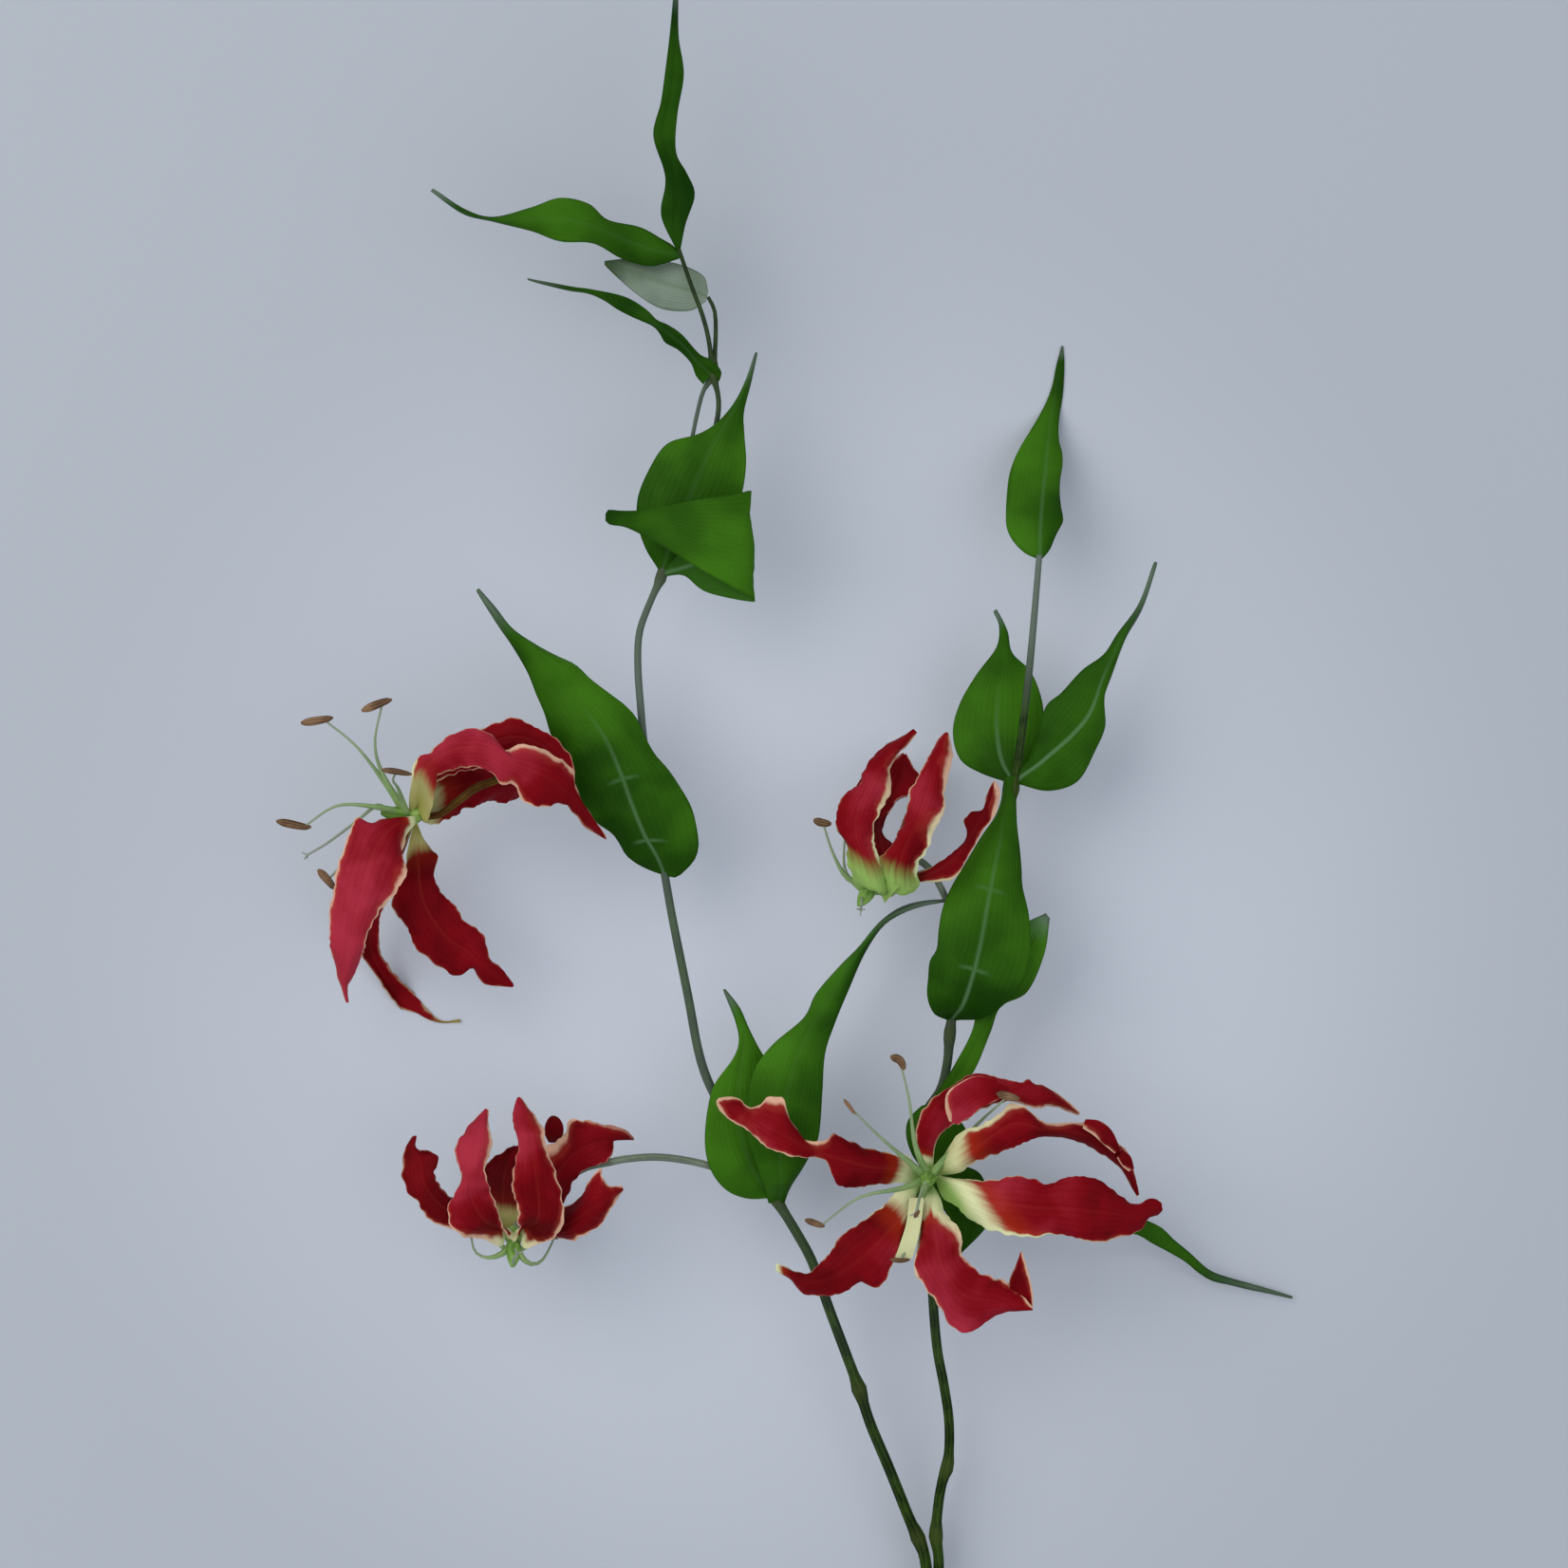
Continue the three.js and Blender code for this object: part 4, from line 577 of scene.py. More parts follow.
BLOOM_2 = BloomForm(
    centre=(541, 1300, 42), facing=(0, -0.85, 0.5),
    style=curve("541,1328,52 542,1325,57 545,1321,61"),
    tepals=(
        TepalForm.read(
            rib="510,1298,44 485,1283,45 462,1268,45 446,1245,44 442,1222,42 434,1206,40 437,1197,38",
            left="500,1301 475,1293 452,1284 438,1266 427,1250 425,1225 429,1206 435,1197",
            right="510,1288 490,1270 466,1252 456,1236 461,1221 454,1213 439,1211 439,1197",
            turn=90, lift=(-2, 2), wave=(1, 2.5, 0), tone=(0.1, 0.1, 0.15, 0.1), pale=0.06,
            rim=((1.2, 0.4, 0.3), (0.2,)),
        ),
        TepalForm.read(
            rib="513,1288,56 497,1262,62 497,1235,65 501,1207,63 505,1187,59 513,1169,54",
            left="528,1313 512,1308 492,1304 476,1291 472,1273 484,1250 485,1236 481,1215 487,1197 "
            "499,1181 512,1168",
            right="542,1308 529,1292 525,1275 515,1250 511,1230 514,1214 519,1203 514,1186 515,1170",
            turn=25, lift=(-3, -2), wave=(0.9, 2.5, 0), tone=(0.1, 0.2, 0.75, 0.95, 0.7), pale=0.08,
            rim=((1.4, 0.8, 0.3, 0.3), (1.6, 1, 0.9, 1.2, 0.8)),
        ),
        TepalForm.read(
            rib="566,1285,58 567,1255,64 562,1222,66 559,1197,63 553,1176,59 547,1156,55",
            left="541,1310 548,1290 545,1272 540,1252 541,1232 547,1210 543,1190 541,1172 545,1157",
            right="552,1315 567,1310 584,1304 594,1288 593,1265 586,1240 576,1212 572,1190 560,1172 "
            "549,1157",
            turn=330, lift=(-3, -3), wave=(0.9, 2.5, 2), tone=(0.05, 0.15, 0.3, 0.75, 0.6), painted_side_light=(-0.15,),
            pale=0.09, rim=((1, 0.8, 0.5, 0.2, 0.2), (1.8, 1.2, 0.9, 1.2, 1)),
        ),
        TepalForm.read(
            rib="530,1278,34 530,1252,25 533,1230,16 543,1208,8",
            left="518,1275 509,1250 509,1232 520,1219 533,1212 542,1207",
            right="548,1275 556,1250 558,1225 546,1207",
            turn=180, lift=(1, 0), wave=(0.8, 2, 0), tone=(0, 0, 0.05), pale=0.38, tint=0.8,
            rim=((0.2,), (0.2,)),
        ),
        TepalForm.read(
            rib="570,1278,34 584,1245,32.5 599,1222,33 617,1209,33 640,1202,32 667,1200,30",
            left="565,1260 570,1225 576,1207 585,1202.5 592,1197 597,1190 599,1183 605,1180 613,1181 "
            "622,1181 633,1185 643,1185 653,1187 661,1191 668,1199",
            right="592,1272 599,1258 605,1244 613,1233 624,1228 635,1225 641,1221 646,1212 647,1201 "
            "651,1196 659,1196 668,1201",
            turn=235, lift=(2, -2), wave=(1, 2, 0), tone=(0, 0.05, 0.2, 0.35, 0.2), pale=0.05,
            rim=((0.2, 0.2, 0.2, 0.2, 0.8, 2.4, 2.4, 0.6, 0.4, 0.4, 0.3), (0.2, 0.2, 0.3, 0.2)),
            curls=(
                BladeForm.read(
                    rib="583,1203.5,34 583,1196,37.5 583,1187,39 583,1176,38",
                    left="578,1203 574.5,1195 574.5,1185 578,1178 582,1175",
                    right="588,1202 593,1194 593,1185 589,1178 584,1175",
                    tone=(0, 0.05, 0.1), rim=((0,), (0,)), glow=(0,),
                ),
            ),
        ),
        TepalForm.read(
            rib="580,1297,48 603,1287,55 628,1270,61 642,1260,62 656,1252,61",
            left="585,1289 596,1273 607,1265 615,1257 621,1245 628,1236 634.5,1231 635,1240 640,1249 "
            "647,1250 656,1250",
            right="580,1303 592,1305 606,1306 618,1300 630,1291 641,1277 647,1267 652,1259 657,1253",
            turn=285, lift=(-2, -3), wave=(0.8, 2.5, 0), tone=(0.1, 0.25, 0.35, 0.2), pale=0.08,
            rim=((0.2, 0.3, 0.6, 0.6), (1.6, 1, 0.6)),
        ),
    ),
    stamens=(
        StamenForm.read("527,1322,46 512,1325,44 500,1318,41", "486,1288,36 496,1300,37 506,1290,36"),
        StamenForm.read(
            "551,1326,46 560,1332,45 570,1329,43 578,1317,40", "576,1290,36 585,1302,37 593,1292,36"
        ),
        StamenForm.read("535,1316,38 520,1305,28", "500,1274,21 511,1280,21 522,1283,21"),
        StamenForm.read("548,1316,38 562,1306,28", "560,1283,21 571,1279,21 581,1272,21"),
        StamenForm.read("538,1312,34 532,1300,22", "519,1268,12 530,1270,13 541,1272,14"),
        StamenForm.read("545,1312,34 549,1300,22", "545,1262,12 552,1272,12 559,1282,12"),
    ),
)

BLOOM_3 = BloomForm(
    centre=(922, 925, 44), facing=(-0.45, -0.75, 0.45),
    style=curve("908,946,50 908,952,54 907,958,58"),
    tepals=(
        TepalForm.read(
            rib="922,940,55 914,915,58 902,880,60 904,855,62 914,830,62 926,808,60 942,790,55 "
            "963,769,48",
            left="908,938 898,926 893,908 892,888 886,878 881,866 882,853 888,841 899,831 909,823 "
            "909,815 920,798 930,788 941,781 951,776 962,769",
            right="934,942 932,922 927,905 920,885 921,868 928,853 935,842 939,828 937,813 941,802 "
            "947,792 955,786 966,772",
            turn=15, lift=(-3, -3), wave=(0.9, 2.5, 0), tone=(0.4, 0.45, 0.6, 0.5), painted_side_light=(0.12,),
            pale=0.37, tint=-1, rim=((0.3, 0.2, 0.2, 0.3), (0.8, 1, 1.4, 1.6, 0.8)),
        ),
        TepalForm.read(
            rib="930,915,44 930,893,42 926,870,34 937,847,24 948,825,19 952,808,17 953,795,15",
            left="914,912 914,890 916,868 922,850 928,838 932,818 938,803 951,793",
            right="956,916 956,903 948,893 938,892 931,886 929,876 932,864 938,852 945,842 956,838 "
            "965,826 968,816 961,805 955,794",
            turn=130, wave=(0.7, 2, 0), tone=(0.1, 0.05, 0.1, 0.15, 0.1), pale=0.1, rim=((0.3,), (0.3,)),
        ),
        TepalForm.read(
            rib="944,942,54 946,915,57 957,885,60 968,860,62 977,835,62 984,810,60 992,788,56 "
            "998,772,52",
            left="929,942 926,922 926,906 935,895 945,882 953,865 957,849 959,833 966,821 974,808 "
            "981,793 988,780 996,772",
            right="958,941 967,933 966,920 967,910 974,899 981,884 987,868 996,850 995,833 999,815 "
            "1003,800 1002,787 999,773",
            turn=310, lift=(-3, -3), wave=(0.9, 2.5, 1), tone=(0.1, 0.1, 0.3, 0.6, 0.55, 0.4),
            painted_side_light=(-0.1,), pale=0.36, tint=-1, rim=((0.2, 0.2, 0.3, 0.6, 0.4), (0.8, 1.4, 1.6, 1.6, 1.2)),
        ),
        TepalForm.read(
            rib="962,927,49 985,918,50 1003,907,50 1018,888,49 1028,872,49 1038,856,48 1045,840,47 "
            "1048,823,46",
            left="950,925 962,920 976,916 990,909 1004,898 1018,886 1019,876 1016,865 1023,856 1036,853 "
            "1040,838 1045,825",
            right="955,938 963,929 977,929 995,928 1009,922 1016,909 1026,891 1037,873 1046,862 "
            "1051,848 1053,833 1048,823",
            turn=240, lift=(-1, -1), wave=(0.6, 3, 0), tone=(0.05, 0.05, 0.15, 0.25, 0.2), pale=0.26,
            tint=1, rim=((0.3, 0.4), (0.4, 0.5, 0.6, 1.4, 2)),
        ),
        TepalForm.read(
            rib="903,900,34 893,872,26 898,842,20 913,816,15 930,800,10",
            left="902,905 892,878 896,845 912,818 930,799",
            right="912,897 907,868 912,842 926,818 932,802",
            turn=75, wave=(0.7, 2, 0), tone=(0, 0.05, 0.1), pale=0.1, rim=((0.3,), (0.3,)),
        ),
        TepalForm.read(
            rib="944,908,34 958,878,25 971,843,18 982,815,13 991,796,9",
            left="936,903 948,875 960,843 973,813 989,796",
            right="952,912 970,882 983,848 990,820 992,797",
            turn=185, wave=(0.7, 2, 1), tone=(0, 0.05, 0.1), pale=0.1, rim=((0.3,), (0.3,)),
        ),
    ),
    stamens=(
        StamenForm.read("893,925,46 878,900,45", "857,864,44 867,867,44 876,868,44"),
        StamenForm.read("905,935,38 890,915,26", "882,870,16 890,878,17 898,886,18"),
        StamenForm.read("915,940,36 905,925,24", "900,878,12 908,887,13 916,896,14"),
        StamenForm.read("925,940,36 925,925,24", "919,890,13 928,896,13 937,901,13"),
        StamenForm.read("932,940,38 945,930,28", "946,906,19 952,912,19 958,919,19"),
        StamenForm.read("935,943,42 946,938,35", "946,922,29 950,930,29 957,935,29"),
    ),
)

BLOOM_4 = BloomForm(
    centre=(978, 1240, 48), facing=(-0.05, -0.05, 1),
    style=curve("973,1250,60 968,1264,63 965,1277,64"),
    tepals=(
        TepalForm.read(
            rib="945,1232,54 915,1229,58 885,1221,61 850,1209,61 812,1188,60 780,1172,58 755,1160,56",
            left="958,1246 945,1246 935,1247 911,1249 887,1250 879,1246 877,1237 873,1227 866,1220 "
            "845,1219 821,1214 806,1206 789,1192 772,1181 760,1171 755,1162",
            right="957,1219 945,1217 935,1215 916,1211 896,1203 885,1197 877,1194 873,1200 865,1203 "
            "848,1201 838,1189 829,1174 827,1159 820,1155 809,1157 801,1164 788,1167 779,1159 769,1156 "
            "757,1157",
            turn=85, lift=(-2, -2), wave=(1, 3, 0), tone=(0.05, 0.05, 0.15, 0.35, 0.55, 0.4),
            painted_side_light=(0, 0, 0, -0.25, -0.15), pale=0.15,
            rim=((0.3, 0.3, 0.3, 1.2, 1.5, 1.4), (0.6, 0.3, 0.3, 1.4, 1.6, 1.4)),
        ),
        TepalForm.read(
            rib="957,1270,54 938,1295,57 910,1323,57 880,1344,54 848,1350,50 818,1335,46",
            left="960,1262 957,1280 955,1298 947,1317 939,1333 932,1350 926,1357 914,1353 905,1351 "
            "891,1359 868,1365 849,1364 840,1356 832,1346 818,1339",
            right="950,1252 936,1266 917,1281 901,1291 885,1304 871,1324 855,1340 839,1341 818,1331",
            turn=140, lift=(-3, -2), wave=(1, 3, 0), tone=(0.55, 0.4, 0.15, 0.15),
            painted_side_light=(-0.3, -0.2, 0, 0), pale=0.27, tip=0.05, rim=((1.2, 0.4, 0.2, 0.3), (1, 0.4, 0.3)),
            curls=(
                BladeForm.read(
                    rib="966,1262,55 961,1288,56.5 956,1310,56.5 951,1327,55",
                    left="973,1262 971,1285 967,1305 961,1325",
                    right="958,1262 955,1288 949,1308 943,1325",
                    tone=(0.3,), tint=0.15, tip=6, rim=((0,), (0,)), glow=(0,),
                ),
            ),
        ),
        TepalForm.read(
            rib="981,1275,55 985,1305,58 993,1338,58 1015,1365,56.5 1048,1371,55.5 1088,1379,56",
            left="990,1262 994,1278 1004,1287 1012,1298 1013,1312 1014,1323 1029,1339 1045,1345 "
            "1058,1350 1068,1356 1078,1366 1088,1378",
            right="964,1262 966,1280 967,1297 966,1314 964,1332 967,1346 980,1362 991,1379 1003,1397 "
            "1013,1404 1026,1401 1045,1388 1062,1382 1088,1380",
            turn=185, lift=(-2, -3), wave=(0.8, 3, 0), tone=(0.3, 0.45, 0.6, 0.65, 0.5, 0.25),
            painted_side_light=(0, 0.1, 0.2, 0.25, 0.1), pale=0.2,
            rim=((3.4, 7, 2, 0.5, 0.5, 0.8, 0.9), (2.6, 3, 1.4, 0.3, 0.2, 0.2)),
            curls=(
                BladeForm.read(
                    rib="1077,1368,53.5 1077,1352,55.5 1076.5,1336,57.5 1076,1319,58.5",
                    left="1062,1356 1065,1344 1070,1333 1075,1319",
                    right="1088,1378 1088,1362 1083,1339 1077,1319",
                    tone=(0.1, 0.2, 0.3), rim=((0.3,), (0.8, 1)), glow=(0,),
                ),
            ),
        ),
        TepalForm.read(
            rib="1010,1252,54 1045,1266,58 1085,1272,61 1125,1274,62 1165,1278,60 1200,1282,57 "
            "1224,1271,54",
            left="994,1240 1012,1243 1045,1244 1075,1239 1105,1248 1125,1241 1143,1238 1165,1248 "
            "1180,1260 1190,1267 1199,1269 1207,1264 1216,1263 1224,1268",
            right="994,1262 1009,1270 1019,1283 1032,1291 1052,1298 1085,1303 1115,1300 1147,1308 "
            "1175,1304 1198,1298 1207,1289 1212,1282 1220,1280 1225,1274",
            turn=262, lift=(-2, -3), wave=(1.1, 3, 0), tone=(0.6, 0.65, 0.5, 0.2, 0.1), pale=0.3,
            slant=0.13, rim=((1, 0.5, 0.1, 0.1, 0.1), (3.2, 2.4, 0.8, 0.6, 0.5, 0.2)),
        ),
        TepalForm.read(
            rib="1004,1224,56 1035,1204,62 1068,1184,66 1100,1190,66 1132,1193,62 1160,1204,56 "
            "1185,1226,50 1199,1259,43",
            left="992,1222 1003,1204 1016,1191 1032,1187 1050,1176 1070,1162 1090,1176 1105,1184 "
            "1130,1183 1150,1184 1168,1200 1188,1215 1200,1258",
            right="998,1237 1012,1234 1027,1224 1045,1217 1062,1211 1080,1202 1105,1197 1135,1202 "
            "1160,1215 1180,1230 1198,1260",
            turn=305, lift=(-3, -4), wave=(0.9, 3, 0), tone=(0.5, 0.45, 0.15, 0.1, 0.2), pale=0.22,
            tint=0.25, rim=((3, 3.4, 2.4, 1, 0.5, 0.5, 0.6), (1.2, 0.3, 0.2, 0.3, 0.4)),
            curls=(
                BladeForm.read(
                    rib="1142,1184,61.5 1156,1189,60 1168,1199,57.5 1177,1213,55",
                    left="1144,1179 1159,1181 1172,1192 1181,1212",
                    right="1141,1189 1152,1196 1163,1206 1174,1215",
                    tone=(0.25, 0.1), rim=((0.2,), (1.2,)), glow=(0,),
                ),
                BladeForm.read(
                    rib="1180,1216,54 1187,1223,52.5 1192,1232,50.5",
                    left="1183,1211 1191,1218 1195,1231",
                    right="1177,1220 1182,1228 1189,1234",
                    tone=(0.2, 0.1), rim=((0.2,), (1.2,)), glow=(0,),
                ),
            ),
        ),
        TepalForm.read(
            rib="976,1205,52 987,1178,55 1008,1158,58 1035,1148,59.5 1065,1149,59 1098,1153,56 "
            "1120,1162,53 1137,1173,50",
            left="966,1212 966,1190 971,1172 980,1160 994,1150 1010,1140 1026,1132 1040,1132 1057,1137 "
            "1074,1141 1083,1137 1089,1142 1103,1146 1120,1157 1137,1172",
            right="984,1212 990,1196 1001,1186 1017,1180 1028,1172 1045,1164 1065,1160 1092,1167 "
            "1110,1165 1136,1175",
            turn=352, lift=(-2, -2), wave=(0.8, 3, 0), tone=(0.6, 0.55, 0.4, 0.55, 0.4, 0.15),
            painted_side_light=(0.1, 0), pale=0.08, rim=((0.5, 0.5, 0.3, 0.3, 0.8), (0.6, 0.4, 0.6, 0.6, 0.5)),
            glow=(0,),
            curls=(
                BladeForm.read(
                    rib="1003,1182,57 1007,1164,60 1020,1151,62 1040,1145,62 1060,1147,60",
                    left="1000,1181 996,1167 998,1151 1011,1141 1026,1134 1042,1135 1059,1143",
                    right="1010,1185 1016,1180 1024,1176 1033,1167 1049,1160 1060,1152",
                    tone=(0.8, 0.75, 0.6, 0.3), painted_side_light=(-0.1,), rim=((2.6, 2.4, 0.8, 0.3, 0.1), (0.3, 0.3)),
                    glow=(0,),
                ),
            ),
        ),
    ),
    stamens=(
        StamenForm.read("964,1205,60 958,1160,68", "938,1113,72 948,1117,72 953,1127,72"),
        StamenForm.read("955,1222,60 925,1196,68", "889,1158,72 895,1166,72 901,1174,72", 0.5),
        StamenForm.read("950,1252,60 905,1262,66", "848,1285,68 865,1291,68 869,1292,68", 0.8),
        StamenForm.read("968,1270,51 962,1300,52", "938,1327,57.5 949,1328,57.5 959,1327,57.5", 0.6),
        StamenForm.read("1003,1212,53 1030,1184,55", "1050,1152,65 1062,1155,65.5 1074,1158,65"),
        StamenForm.read("974,1252,62 969,1262,70", "963,1283,79 966,1279,79 969,1275,79", 0.5),
    ),
)

BLOOMS = {"bloom_1": BLOOM_1, "bloom_2": BLOOM_2, "bloom_3": BLOOM_3, "bloom_4": BLOOM_4}

# ---------------------------------------------------------------- nodes


def linear(colour: Colour) -> tuple[float, float, float, float]:
    """Returns a colour given as 0 to 255 on screen as linear values."""
    shares = (value / 255 for value in colour)
    red, green, blue = (s / 12.92 if s <= 0.04045 else ((s + 0.055) / 1.055) ** 2.4 for s in shares)
    return (red, green, blue, 1.0)


@dataclass(frozen=True)
class Value:
    """A number in a node tree, with arithmetic that adds Math nodes.

    Attributes:
        wiring: adds the nodes.
        socket: where the number comes from.
    """

    wiring: "Wiring"
    socket: bpy.types.NodeSocket

    def __add__(self, other: "Feed") -> "Value":
        """Returns the sum."""
        return self.wiring.math("ADD", self, other)

    def __sub__(self, other: "Feed") -> "Value":
        """Returns the difference."""
        return self.wiring.math("SUBTRACT", self, other)

    def __rsub__(self, other: float) -> "Value":
        """Returns what this leaves of a constant."""
        return self.wiring.math("SUBTRACT", other, self)

    def __mul__(self, other: "Feed") -> "Value":
        """Returns the product."""
        return self.wiring.math("MULTIPLY", self, other)

    def __abs__(self) -> "Value":
        """Returns the number without its sign."""
        return self.wiring.math("ABSOLUTE", self)

    def wave(self) -> "Value":
        """Returns the sine."""
        return self.wiring.math("SINE", self)

    def at_least(self, other: "Feed") -> "Value":
        """Returns the larger of the two."""
        return self.wiring.math("MAXIMUM", self, other)

    def step(self, low: "Feed", high: "Feed") -> "Value":
        """Returns a smooth step, 0 at low and 1 at high."""
        feeds = {"Value": self, "From Min": low, "From Max": high}
        return self.wiring.value("ShaderNodeMapRange", feeds, interpolation_type="SMOOTHSTEP")


Feed = Value | bpy.types.NodeSocket | float | Point
Feeds = dict[str | int, Feed]


@dataclass(frozen=True)
class Wiring:
    """Adds nodes to one node tree.

    Attributes:
        tree: the tree.
    """

    tree: bpy.types.NodeTree

    def feed(self, node: bpy.types.Node, feeds: Feeds) -> None:
        """Sets or links inputs of a node.

        Args:
            node: the node.
            feeds: a socket, a number in the tree or a constant for each named or numbered input.
        """
        for name, value in feeds.items():
            source = value.socket if isinstance(value, Value) else value
            if isinstance(source, bpy.types.NodeSocket):
                self.tree.links.new(source, node.inputs[name])
            else:
                node.inputs[name].default_value = source

    def add(self, kind: str, feeds: Feeds, **settings: str) -> bpy.types.Node:
        """Adds a node.

        Args:
            kind: Blender's name of the node type.
            feeds: what its inputs get, as for feed.
            **settings: the node's own properties.

        Returns:
            The node.
        """
        node = self.tree.nodes.new(kind)
        for name, value in settings.items():
            setattr(node, name, value)
        self.feed(node, feeds)
        return node

    def value(self, kind: str, feeds: Feeds, out: str | int = 0, **settings: str) -> Value:
        """Adds a node, as add does, and returns one of its outputs."""
        return Value(self, self.add(kind, feeds, **settings).outputs[out])

    def math(self, operation: str, a: Feed, b: Feed = 0.0) -> Value:
        """Returns the result of a Math node on one or two numbers."""
        return self.value("ShaderNodeMath", {0: a, 1: b}, operation=operation)

    def layers(self, under: Feed | Colour, *over: tuple[Feed, Feed | Colour]) -> bpy.types.NodeSocket:
        """Lays colours over a colour.

        Args:
            under: the lowest colour.
            *over: how far each next one hides what is under it, and the colour.

        Returns:
            The colour that shows.
        """
        shown = linear(under) if isinstance(under, tuple) else under
        for share, colour in over:
            laid = linear(colour) if isinstance(colour, tuple) else colour
            shown = self.add("ShaderNodeMix", {0: share, 6: shown, 7: laid}, data_type="RGBA").outputs[2]
        return shown

    def noise(self, scale: Feed, detail: float = 3.0) -> Value:
        """Returns noise on the piece's own coordinates, scale features to the metre."""
        where = self.add("ShaderNodeTexCoord", {}).outputs["Object"]
        return self.value("ShaderNodeTexNoise", {"Vector": where, "Scale": scale, "Detail": detail})

    def attribute(self, name: str) -> Value:
        """Returns a number that the mesh carries at its points."""
        return self.value("ShaderNodeAttribute", {}, "Fac", attribute_name=name)


@dataclass(frozen=True)
class Effect:
    """A node group that several materials use.

    Attributes:
        name: its name.
        inputs: its inputs, all numbers, with their defaults.
        outputs: its outputs, all numbers.
    """

    name: str
    inputs: dict[str, float]
    outputs: tuple[str, ...]

    def group(self) -> bpy.types.NodeTree:
        """Returns the group, wired on its first use."""
        if made := bpy.data.node_groups.get(self.name):
            return made
        tree = bpy.data.node_groups.new(self.name, "ShaderNodeTree")
        for name, value in self.inputs.items():
            socket = tree.interface.new_socket(name, in_out="INPUT", socket_type="NodeSocketFloat")
            socket.default_value = value
        for name in self.outputs:
            tree.interface.new_socket(name, in_out="OUTPUT", socket_type="NodeSocketFloat")
        wiring = Wiring(tree)
        given = wiring.add("NodeGroupInput", {}).outputs
        wiring.add("NodeGroupOutput", self.wire(wiring, given))
        return tree

    def wire(self, wiring: Wiring, given: bpy.types.NodeOutputs) -> Feeds:
        """Wires the inside of the group.

        Args:
            wiring: adds nodes to the group.
            given: the group's inputs.

        Returns:
            What feeds each output.
        """
        raise NotImplementedError

    def place(self, wiring: Wiring, feeds: Feeds) -> dict[str, Value]:
        """Places the group in a material and returns its outputs."""
        node = wiring.tree.nodes.new("ShaderNodeGroup")
        node.node_tree = self.group()
        wiring.feed(node, feeds)
        return {name: Value(wiring, node.outputs[name]) for name in self.outputs}


class BladePattern(Effect):
    """Margin, rib, veins and pale base of a blade, from what its mesh carries."""

    def wire(self, wiring: Wiring, given: bpy.types.NodeOutputs) -> Feeds:
        """Wires the masks: see Effect.wire."""
        # The margin is ragged, and its width changes along it.
        edge = wiring.attribute("edge") + (wiring.noise(260.0) - 0.5) * given["Ragged"]
        uneven = wiring.noise(75.0).step(0.35, 0.65) * 1.1 + 0.35
        rim = wiring.attribute("rim")
        width = rim * given["Margin Width"] * uneven
        margin = (1.0 - edge.step(width * 0.3, width)) * rim.step(0.0, 0.8)
        # A crossing vein is fainter than the rib and short on each side of it.
        off_rib = abs(wiring.attribute("across"))
        rib = 1.0 - off_rib.step(0.0, given["Rib Width"])
        off_vein = abs(wiring.attribute("crossing"))
        vein = (1.0 - off_vein.step(0.0, 1.1)) * (1.0 - off_rib.step(2.0, 6.5)) * 0.7
        # Fine veins run along the blade and drift a little to the sides.
        uv = wiring.add("ShaderNodeUVMap", {}, uv_map="blade").outputs[0]
        side = wiring.value("ShaderNodeSeparateXYZ", {0: uv})
        phase = side * given["Vein Count"] + wiring.noise(90.0, 2.0) * 0.9
        # The pale base ends in long flames.
        streaks = {0: side * 9.0, 1: wiring.noise(12.0), 2: wiring.noise(40.0)}
        lengthways = wiring.value("ShaderNodeCombineXYZ", streaks)
        flames = wiring.value("ShaderNodeTexNoise", {"Vector": lengthways, "Scale": 1.0, "Detail": 2.0})
        pale = wiring.attribute("pale")
        return {
            "Margin": margin,
            "Rib": rib.at_least(vein) * wiring.attribute("glow"),
            "Veins": (phase * FULL_TURN).wave().step(0.2, 1.0),
            "Base": (pale + (flames - 0.5) * 0.34).step(0.02, 0.44) * pale.step(0.0, 0.2),
        }


class Mottle(Effect):
    """Blotches and fine grain over a surface."""

    def wire(self, wiring: Wiring, given: bpy.types.NodeOutputs) -> Feeds:
        """Wires both noises: see Effect.wire."""
        blotch = wiring.noise(given["Blotch Scale"], 2.0).step(0.35, 0.68)
        return {"Blotch": blotch, "Grain": wiring.noise(given["Grain Scale"], 4.0)}


PATTERN = BladePattern(
    "blade pattern",
    {"Margin Width": 1.0, "Ragged": 0.5, "Rib Width": 0.6, "Vein Count": 12.0},
    ("Margin", "Rib", "Veins", "Base"),
)
MOTTLE = Mottle("mottle", {"Blotch Scale": 40.0, "Grain Scale": 900.0}, ("Blotch", "Grain"))


# ---------------------------------------------------------------- finishes


@dataclass(frozen=True)
class Finish:
    """What a surface looks like.

    Attributes:
        name: the material's name.
        roughness: how dull it is, about its middle.
        shine: how strongly it reflects.
    """

    name: str
    roughness: float = 0.5
    shine: float = 0.04

    def material(self) -> bpy.types.Material:
        """Returns the material, made on its first use."""
        if made := bpy.data.materials.get(self.name):
            return made
        material = bpy.data.materials.new(self.name)
        material.use_nodes = True
        wiring = Wiring(material.node_tree)
        colour, height, depth = self.surface(wiring)
        spread = {"Value": height, "To Min": self.roughness - 0.08, "To Max": self.roughness + 0.1}
        relief = {"Height": height, "Distance": depth, "Strength": 0.6}
        feeds = {
            "Base Color": colour,
            "Roughness": wiring.value("ShaderNodeMapRange", spread),
            "Normal": wiring.add("ShaderNodeBump", relief).outputs[0],
            "Specular IOR Level": self.shine,
        }
        wiring.feed(material.node_tree.nodes["Principled BSDF"], feeds)
        return material

    def surface(self, wiring: Wiring) -> tuple[bpy.types.NodeSocket, Value, float]:
        """Wires the look.

        Args:
            wiring: adds nodes to the material.

        Returns:
            The colour, the height of the fine relief, and its depth in metres.
        """
        raise NotImplementedError


